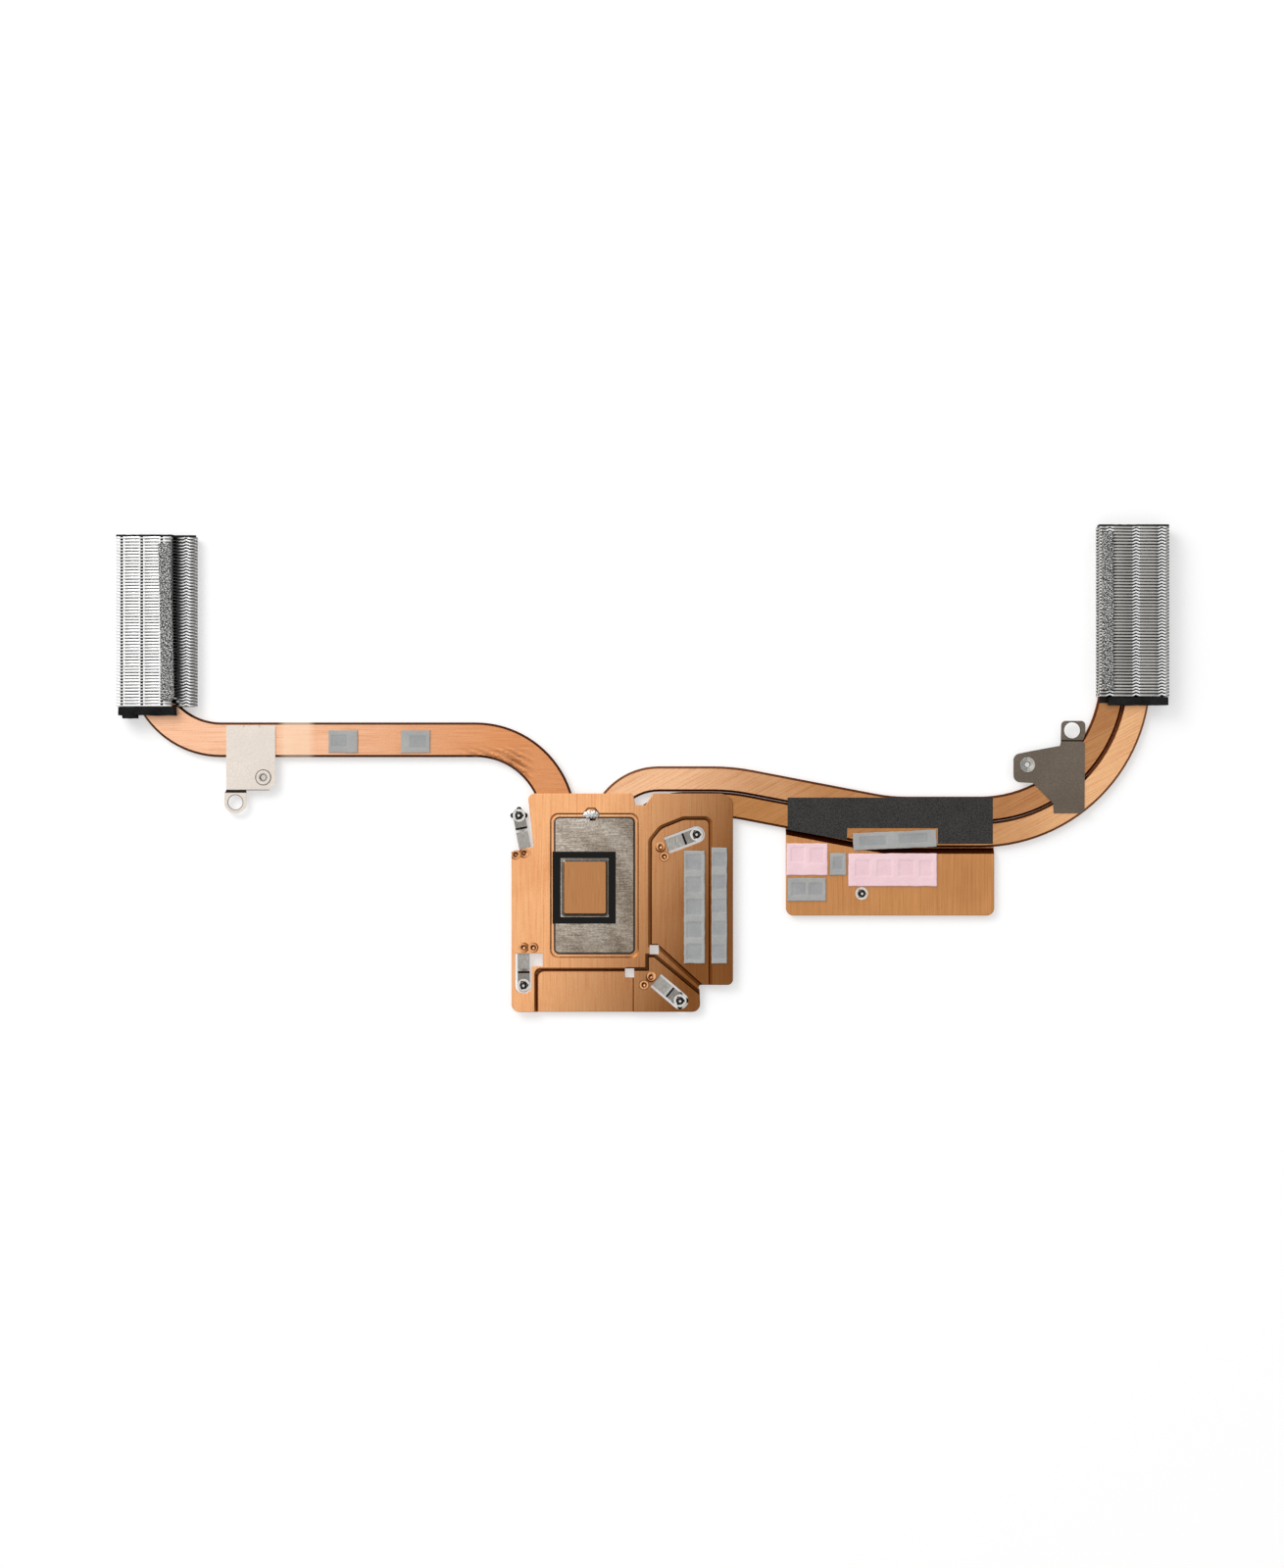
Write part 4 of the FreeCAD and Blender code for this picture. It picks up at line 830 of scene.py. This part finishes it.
def make_pads(looks):
    gray, pink = "pad_gray", "pad_pink"
    inner = row_of_squares(5, 7.1, 2.5, 0.16)
    outer = row_of_squares(5, 7.3, 2.2, 0.12)
    pads = (
        ("pad_inner_choke", "inner_choke_pad", gray, (6.8, 35.9), 0.0, 0.3, inner),
        ("pad_outer_choke", "outer_choke_pad", gray, (5.1, 36.9), 0.0, 0.3, outer),
        ("pad_left_outer", "left_pipe_pad_outer", gray, (9.4, 7.3), 0.0, 0.2, [(-1.2, 0.2, 2.6, 1.9, 0.1)]),
        ("pad_left_inner", "left_pipe_pad_inner", gray, (9.4, 7.3), 0.0, 0.2, [(0.9, -0.1, 2.7, 2.0, 0.1)]),
        ("pad_notch", "notch_pad", gray, (26.6, 5.6), 2.5, 0.2,
         [(-7.0, 0.0, 4.2, 1.5, 0.1), (6.0, 0.2, 4.6, 1.5, 0.1)]),
        ("pad_pink_square", "pink_square_pad", pink, (13.2, 10.3), 0.0, 0.3,
         [(-3.0, 1.5, 2.2, 2.4, 0.12), (3.2, 1.2, 2.2, 2.4, 0.12)]),
        ("pad_pink_wide", "pink_wide_pad", pink, (28.2, 10.6), 0.0, 0.3,
         [(-9.5, 0.6, 2.4, 2.6, 0.12), (-2.6, 0.5, 2.4, 2.6, 0.12), (4.4, 0.6, 2.4, 2.6, 0.12),
          (10.6, 0.4, 2.0, 2.6, 0.12)]),
        ("pad_gray_small", "gray_small_pad", gray, (5.4, 7.3), 0.0, 0.3, [(0.0, 0.3, 1.5, 2.0, 0.12)]),
        ("pad_gray_corner", "gray_corner_pad", gray, (12.4, 7.6), 0.0, 0.3,
         [(-2.6, 0.2, 2.3, 2.0, 0.12), (3.0, 0.1, 2.2, 2.0, 0.12)]),
    )
    for name, node, slot, size, tilt, edge, imprints in pads:
        soft_slab(name, node, looks, slot, size, tilt=tilt, edge=edge, imprints=imprints)


def plan_size(node):
    """A node's width and length in plan, in millimetres."""
    low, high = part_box(node)
    return (high.x - low.x) / MM, (high.y - low.y) / MM


def make_foams(looks):
    """The speckled strips on the fins."""
    for side, width, trim, tilt in (("left", 4.1, 0.1, 1.3), ("right", 3.8, 0.0, 0.0)):
        node = f"{side}_foam_strip"
        size = (width, plan_size(node)[1] - trim)
        soft_slab(f"foam_strip_{side}", node, looks, "foam_gray", size, tilt=tilt, edge=0.35, wave=0.03)


# Fins

# In millimetres. The head flange is narrower on the short fins and at a chevron's tip, and is split in
# two rows of faces. A lock is pressed in over LOCK_HALF to either side of its middle, and from there to
# CLOSED_HALF the flange closes the gap to the next fin. A chevron bends a fin only in its HEAD_ZONE.
FIN_COUNT = 55
FIN_PITCH = 0.98
TALL_FIN, SHORT_FIN = 8.0, 5.0
SHEET, FOLD = 0.25, 0.20
FLANGE, SHORT_FLANGE, TIP_FLANGE = 0.71, 0.56, 0.56
FLANGE_SPLIT = 0.36
LOCK_HALF, CLOSED_HALF, LOCK_DIP = 0.45, 0.95, 0.9
CHEVRON_HALF, CHEVRON_PUSH, CHEVRON_DIP = 1.15, 0.55, 0.06
HEAD_ZONE = 1.4
CHANNEL_TOP = 3.0
BLEND, SLACK, NEAR, FAR = 0.03, 0.02, 0.001, 9.0


def fin_path(height, flange):
    """The middle line of a folded fin in (depth, level): foot flange, web, head flange."""
    half = SHEET / 2
    low, top = half, height - half
    turn = [(1 - math.cos(math.radians(a)), 1 - math.sin(math.radians(a))) for a in (90, 60, 30, 0)]
    foot = [(half + FOLD * x, low + FOLD * y) for x, y in turn]
    head = [(half + FOLD * x, top - FOLD * y) for x, y in reversed(turn)]
    return [(FIN_PITCH - SLACK, low), *foot, *head, (FLANGE_SPLIT, top), (flange, top)]


def stations(x_low, x_high, locks, chevrons, channel):
    """Places in x where a fin's shape changes."""
    places = {x_low, x_high, *chevrons}
    tabs = [(x, half) for x in locks for half in (LOCK_HALF, CLOSED_HALF)]
    for x, half in tabs + [(x, CHEVRON_HALF) for x in chevrons]:
        places.update((x - half - BLEND, x - half, x + half, x + half + BLEND))
    places.update(side for side in channel if x_low < side < x_high)
    return [x for x in sorted(places) if x_low <= x <= x_high]


def nearest(x, places):
    """How far x is from the closest of the places."""
    return min((abs(x - place) for place in places), default=FAR)


def fin_rows(node, height, x_low, x_high, locks, chevrons, flange):
    """A stack's fins as thin sheets with the tabs that hold each to the next.

    locks are places in x where a lock is pressed in and its sides close the gap to the next fin;
    chevrons are places where the head flange is narrowed and bent into a point; flange is how far the
    head flange goes towards the next fin.
    """
    bm = bmesh.new()
    lit = bm.faces.layers.float.new("lit")
    shaded = bm.faces.layers.float.new("shaded")
    first_y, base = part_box(node)[0].y / MM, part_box(node)[0].z / MM
    path = fin_path(height, flange)
    for index in range(FIN_COUNT):
        y0 = first_y + index * FIN_PITCH
        channel = channel_at(node, y0, base)
        places = stations(x_low, x_high, locks, chevrons, channel)
        wobble = rng.uniform(-0.03, 0.03)
        columns = []
        for x in places:
            to_lock, to_tip = nearest(x, locks), nearest(x, chevrons)
            nearness = max(0.0, 1.0 - to_tip / CHEVRON_HALF)
            column = []
            for depth, level in path:
                upper = max(0.0, (level - (height - HEAD_ZONE)) / HEAD_ZONE)
                push = CHEVRON_PUSH * nearness * upper
                dip = CHEVRON_DIP * nearness * upper
                if depth == flange and level > height - 1.0:
                    if to_lock < LOCK_HALF + NEAR:
                        dip += LOCK_DIP
                    elif to_lock < CLOSED_HALF + NEAR:
                        push += FIN_PITCH - flange - SLACK
                    elif to_tip < CHEVRON_HALF + NEAR:
                        push -= max(0.0, flange - TIP_FLANGE)
                y = y0 + depth + push + wobble * upper
                column.append(bm.verts.new((x * MM, y * MM, (base + level - dip) * MM)))
            columns.append(column)
        for i, (here, following) in enumerate(zip(columns, columns[1:])):
            middle = (places[i] + places[i + 1]) / 2
            in_channel = channel and channel[0] < middle < channel[1]
            locked = nearest(middle, locks) < LOCK_HALF + BLEND
            bent = nearest(middle, chevrons) < CHEVRON_HALF
            for j in range(len(path) - 1):
                level = (path[j][1] + path[j + 1][1]) / 2
                if in_channel and level < CHANNEL_TOP:
                    continue
                face = bm.faces.new((here[j], following[j], following[j + 1], here[j + 1]))
                # Chevron heads are marked for a painted highlight, and the locks' outer flange faces for
                # painted shade.
                if level > height - 0.5:
                    face[lit] = float(bent)
                    face[shaded] = float(locked and j == len(path) - 2)
    loose = [v for v in bm.verts if not v.link_faces]
    bmesh.ops.delete(bm, geom=loose, context="VERTS")
    return bm


def channel_at(node, y0, base):
    """The two sides, in millimetres, of the pipe's channel through the fin at y0."""
    feet = sorted({round(v.co.x / MM, 3) for v in NODES[node].data.vertices
                   if abs(v.co.z / MM - base) < 0.01 and y0 - 0.05 < v.co.y / MM < y0 + 0.3})
    if len(feet) < 4:
        return ()
    widest = max(range(len(feet) - 1), key=lambda i: feet[i + 1] - feet[i])
    return (feet[widest], feet[widest + 1])


def make_fins(looks):
    left_low, left_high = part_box("left_fin_stack")
    right_low, right_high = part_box("right_fin_stack")
    stacks = (
        ("fins_left_tall", "left_fin_stack", "aluminium_left", TALL_FIN, left_low.x / MM, LEFT_STEP,
         (-145.9, -139.6, -133.3), (), FLANGE),
        ("fins_left_short", "left_fin_stack", "aluminium_short", SHORT_FIN, LEFT_STEP, left_high.x / MM,
         (), (-126.0,), SHORT_FLANGE),
        ("fins_right", "right_fin_stack", "aluminium_right", TALL_FIN, right_low.x / MM, right_high.x / MM,
         (), (165.4, 173.7, 181.8), FLANGE),
    )
    for name, node, look, *shape in stacks:
        piece = add_piece(name, fin_rows(node, *shape), looks[look], 20.0)
        thick = piece.modifiers.new("sheet", "SOLIDIFY")
        thick.thickness = SHEET * MM
        thick.offset = 0.0
        replace(piece, node)


# Screws

def revolve_rows(bm, rows, segments, twist=None):
    """Rings of points from (radius, level) rows, joined by faces; both ends are open."""
    rings = []
    for radius, level in rows:
        ring = []
        for k in range(segments):
            angle = 2 * math.pi * k / segments
            reach = radius if twist is None else twist(radius, level, angle)
            ring.append(bm.verts.new((reach * math.cos(angle), reach * math.sin(angle), level)))
        rings.append(ring)
    for first, second in zip(rings, rings[1:]):
        bridge(bm, first, second)
    return rings


# The M2 screws, in millimetres; levels run from the head's underside up to the tip.
HEAD, HEAD_DEPTH = 2.0, 0.7
NECK, NECK_LENGTH = 0.8, 1.1
ROOT, CREST, PITCH = 0.8, 1.0, 0.4
TIP = 0.25
THREAD_STEP = 0.05
SCREW_SIDES = 36


def screw_mesh(bm, x, y, seat, length):
    """A small machine screw, head down: cross recess, plain neck, then thread up to its tip."""
    start = len(bm.verts)

    def recess(radius, level, angle):
        return radius * (0.45 + 0.55 * abs(math.cos(2 * angle)) ** 3)

    def thread(radius, level, angle):
        if level > length - TIP:
            return radius
        phase = (level / PITCH - angle / (2 * math.pi)) % 1.0
        swell = 1.0 - abs(2 * phase - 1.0)
        run_in = min(1.0, max(0.0, (level - NECK_LENGTH) / 0.15))
        return ROOT + (CREST - ROOT) * min(1.0, swell * 1.3) * run_in + (1 - run_in) * 0.1

    bottom = -HEAD_DEPTH
    cross = [(1.1, bottom), (0.95, bottom + 0.12), (0.35, bottom + 0.5)]
    head = [(HEAD - 0.25, bottom), (HEAD - 0.07, bottom + 0.08), (HEAD, bottom + 0.25), (HEAD, -0.06),
            (HEAD - 0.06, 0.0), (NECK, 0.0), (NECK, NECK_LENGTH)]
    under = revolve_rows(bm, cross, SCREW_SIDES, recess)
    bm.faces.new(under[-1])
    outer = revolve_rows(bm, head, SCREW_SIDES)
    bridge(bm, under[0], outer[0])
    run = length - TIP - NECK_LENGTH
    steps = int(run / THREAD_STEP)
    rows = [(CREST, NECK_LENGTH + run * i / steps) for i in range(steps + 1)]
    rows += [(0.85, length - 0.08), (0.7, length - 0.02), (0.4, length)]
    shank = revolve_rows(bm, rows, SCREW_SIDES, thread)
    bridge(bm, outer[-1], shank[0])
    bm.faces.new(shank[-1])
    bm.verts.ensure_lookup_table()
    for vert in bm.verts[start:]:
        vert.co = (vert.co + Vector((x, y, seat))) * MM


def screw_axes(node, apart=0.006):
    """The middle and lowest level of each separate screw or rivet in a node, in millimetres.

    Two of them are at least apart, in metres, from each other.
    """
    groups = []
    for vert in NODES[node].data.vertices:
        for group in groups:
            if (group[0].xy - vert.co.xy).length < apart:
                group.append(vert.co)
                break
        else:
            groups.append([vert.co])
    axes = []
    for group in groups:
        xs, ys, zs = zip(*group)
        axes.append(((min(xs) + max(xs)) / 2 / MM, (min(ys) + max(ys)) / 2 / MM, min(zs) / MM))
    return axes


def make_screws(looks):
    for node, length in (("cpu_screws", 3.6), ("vrm_screw", 3.0)):
        bm = bmesh.new()
        axes = screw_axes(node)
        for x, y, low in axes:
            screw_mesh(bm, x, y, low + HEAD_DEPTH, length)
        thread_start = (axes[0][2] + HEAD_DEPTH + NECK_LENGTH) * MM
        piece = add_piece(f"{node}_threaded", bm, looks["fastener_steel"], 35.0)
        # The thread below the bright tip takes the steel painted dark as shade.
        piece.data.materials.append(looks["steel_in_shade"])
        for polygon in piece.data.polygons:
            away = min((polygon.center.xy - Vector((x * MM, y * MM))).length for x, y, _ in axes)
            if polygon.center.z > thread_start and (polygon.normal.z < 0.9 or away > 0.0004):
                polygon.material_index = 1
        replace(piece, node)


def make_solder(looks):
    """The solder that closes the port: a short chain of uneven blobs."""
    low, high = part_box("solder_bead")
    bm = bmesh.new()
    blobs = [(0.08, 0.55, 1.0), (0.22, 0.3, 1.1), (0.36, 0.6, 1.25), (0.52, 0.35, 1.2), (0.66, 0.7, 1.3),
             (0.80, 0.35, 1.1), (0.93, 0.55, 0.9)]
    for along, across, scale in blobs:
        made = bmesh.ops.create_icosphere(bm, subdivisions=3, radius=1.0)
        centre = Vector((low.x + (high.x - low.x) * along, low.y + (high.y - low.y) * across, low.z))
        for vert in made["verts"]:
            bulge = 1.0 + 0.45 * noise.noise(vert.co * 2.2 + Vector((along * 9, 0, 0)))
            reach = (high.y - low.y) * 0.72 * scale * bulge
            rise = max(0.0, vert.co.z) * (high.z - low.z) * scale * bulge
            vert.co = centre + Vector((vert.co.x * reach, vert.co.y * reach, rise))
    replace(add_piece("solder_blobs", bm, looks["solder"], 80.0), "solder_bead")


def make_end_pieces(looks):
    """The black foam blocks at the lower ends of the fins; the left one has a lip."""
    soft_slab("foam_end_right", "right_end_foam", looks, "foam_black", plan_size("right_end_foam"),
              edge=0.35, wave=0.1)
    width, whole = plan_size("left_end_foam")
    lip, lip_width, lip_inset, overlap = 1.0, 4.7, 1.3, 0.4
    length = whole - lip
    soft_slab("foam_end_left", "left_end_foam", looks, "foam_black", (width, length), edge=0.35, wave=0.1,
              shift=(0.0, lip / 2))
    soft_slab("foam_end_left_lip", "left_end_foam", looks, "foam_black", (lip_width, lip + overlap),
              edge=0.25, wave=0.06, shift=(lip_inset + lip_width / 2 - width / 2, overlap / 2 - length / 2))


def rounded_ring(bm, centre, half_x, half_y, radius):
    """A closed ring of points round a rectangle with round corners, at the centre's level, in metres."""
    ring = []
    for corner in range(4):
        sign_x = 1 if corner in (0, 3) else -1
        sign_y = 1 if corner < 2 else -1
        for step in range(7):
            angle = math.radians(90 * corner + 15 * step)
            ring.append(bm.verts.new((centre[0] + sign_x * (half_x - radius) + radius * math.cos(angle),
                                      centre[1] + sign_y * (half_y - radius) + radius * math.sin(angle),
                                      centre[2])))
    return ring


def ring_piece(name, rings, bm, look):
    """A piece with a face between each ring of points and the next one out."""
    for inner, outer in zip(rings, rings[1:]):
        bridge(bm, outer, inner)
    add_piece(name, bm, look, 50.0)


def make_skirt(looks):
    """The coved flank between the raised contact face and the block round it."""
    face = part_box("cpu_block")[1].z
    rows = [(0.0066, 0.0082, 0.0006, 0.00024), (0.0068, 0.0084, 0.0008, 0.00052),
            (0.0071, 0.0087, 0.0010, 0.00068), (0.00755, 0.00915, 0.0012, 0.00078)]
    bm = bmesh.new()
    rings = [rounded_ring(bm, (0.0, 0.0, face - drop), half_x, half_y, radius)
             for half_x, half_y, radius, drop in rows]
    # The cove's nickel is painted darker, as shade.
    ring_piece("contact_flank", rings, bm, looks["flank_nickel_in_shade"])


def make_gap_shade_line(looks):
    """A dark ring of painted shade that fills the gap between the block and the plate's window."""
    low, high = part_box("cpu_block")
    middle = (low + high) / 2
    half = (high - low) / 2
    level, corner = high.z - 0.00120, 0.0013
    bm = bmesh.new()
    rings = [rounded_ring(bm, (middle.x, middle.y, level - drop), half.x + grow, half.y + grow,
                          corner + grow)
             for grow, drop in ((-0.0001, 0.00005), (0.0001, 0.0), (0.0003, 0.0), (0.00055, 0.00008))]
    ring_piece("gap_shade_line", rings, bm, looks["gap_shade"])


def make_tapes(looks):
    """The black tapes on the last fins: thin ribbons whose front waves a little and follows the step."""
    edge = 0.12 * MM
    for side in ("left", "right"):
        node = f"{side}_end_tape"
        low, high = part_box(node)
        points = [v.co for v in NODES[node].data.vertices]
        seed = Vector((rng.random() * 40, 0, 0))
        count = round((high.x - low.x) / (0.8 * MM))
        bm = bmesh.new()
        sections = []
        for i in range(count + 1):
            x = low.x + (high.x - low.x) * i / count
            past_step = side == "left" and x > LEFT_STEP * MM + 0.0002
            top = max(p.z for p in points if not past_step or p.x > high.x - 0.0005)
            wave = 0.16 * MM * noise.noise(Vector((x / MM * 0.35, 0, 0)) + seed)
            front = high.y - edge - abs(wave)
            section = [(low.y, low.z), (front, low.z), (front, top - edge), (front - edge, top),
                       (low.y, top)]
            sections.append([bm.verts.new((x, y, z)) for y, z in section])
        for first, second in zip(sections, sections[1:]):
            bridge(bm, second, first)
        bm.faces.new(sections[0])
        bm.faces.new(list(reversed(sections[-1])))
        bmesh.ops.recalc_face_normals(bm, faces=bm.faces)
        replace(add_piece(f"tape_{side}", bm, looks["tape_black"], 40.0), node)


def press_nut(name, node, looks, look, dotted):
    """A press nut: flat flange with a ring of dots or with turned rings, and a threaded bore."""
    low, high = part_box(node)
    middle = (low + high) / 2
    top = high.z / MM
    bottom = low.z / MM
    segments = 72
    bm = bmesh.new()
    bore, crest, flange, shank = 0.92, 0.85, 2.4, 1.7
    face = top - 0.25
    bore_top = top - 0.12

    def thread(radius, level, angle):
        phase = (level / 0.35 - angle / (2 * math.pi)) % 1.0
        return crest + (bore - crest) * abs(2 * phase - 1.0)

    rows = [(shank, bottom), (shank, face), (flange, face), (flange, top - 0.06), (flange - 0.06, top)]
    if dotted:
        rows += [(flange - 0.22, top), (1.3, top), (1.22, top - 0.06), (1.14, top)]
    else:
        for radius in (2.1, 1.8, 1.5, 1.2):
            rows += [(radius + 0.08, top), (radius, bore_top), (radius - 0.08, top)]
    rows += [(1.05, top), (bore, bore_top)]
    outer = revolve_rows(bm, rows, segments)
    depth = bore_top - bottom
    steps = int(depth / THREAD_STEP)
    rows = [(crest, bore_top - depth * i / steps) for i in range(steps + 1)]
    wall = revolve_rows(bm, rows, segments, thread)
    bridge(bm, outer[-1], wall[0])
    bridge(bm, wall[-1], outer[0])
    for vert in bm.verts:
        vert.co = Vector((middle.x + vert.co.x * MM, middle.y + vert.co.y * MM, vert.co.z * MM))
    piece = add_piece(name, bm, looks[look], 30.0)
    # Painted shade: the bore, the dots round a dotted nut's flange (real knurl dots, drawn only as dark
    # paint) and the sloped ring walls on a turned nut's left half take the darkened steel.
    piece.data.materials.append(looks["steel_in_shade"])
    for polygon in piece.data.polygons:
        offset = polygon.center.xy - middle.xy
        if dotted:
            turn = math.atan2(offset.y, offset.x) / (2 * math.pi) * segments
            on_edge = (flange - 0.25) * MM < offset.length < (flange - 0.03) * MM
            dark = on_edge and round(turn - 0.5) % 2 == 0
        else:
            dark = polygon.normal.z < 0.9 and offset.x < 0 and polygon.center.z > face * MM
        if dark or offset.length < 0.00096:
            polygon.material_index = 1
    replace(piece, node)


bpy.context.scene.view_settings.view_transform = "Standard"
make_camera()
make_world()
make_lamp("key", (-0.55, 0.62, 0.80), 0.55, 5.0)
make_lamp("fill", (0.75, -0.35, 0.85), 0.8, 0.8)
make_floor()
LOOKS = make_looks()
dress_kept(LOOKS)
make_pads(LOOKS)
make_foams(LOOKS)
make_fins(LOOKS)
make_screws(LOOKS)
make_solder(LOOKS)
make_end_pieces(LOOKS)
make_tapes(LOOKS)
make_skirt(LOOKS)
make_gap_shade_line(LOOKS)
press_nut("nut_left", "left_bracket_nut", LOOKS, "bracket_light", dotted=True)
press_nut("nut_right", "right_bracket_nut", LOOKS, "fastener_steel", dotted=False)
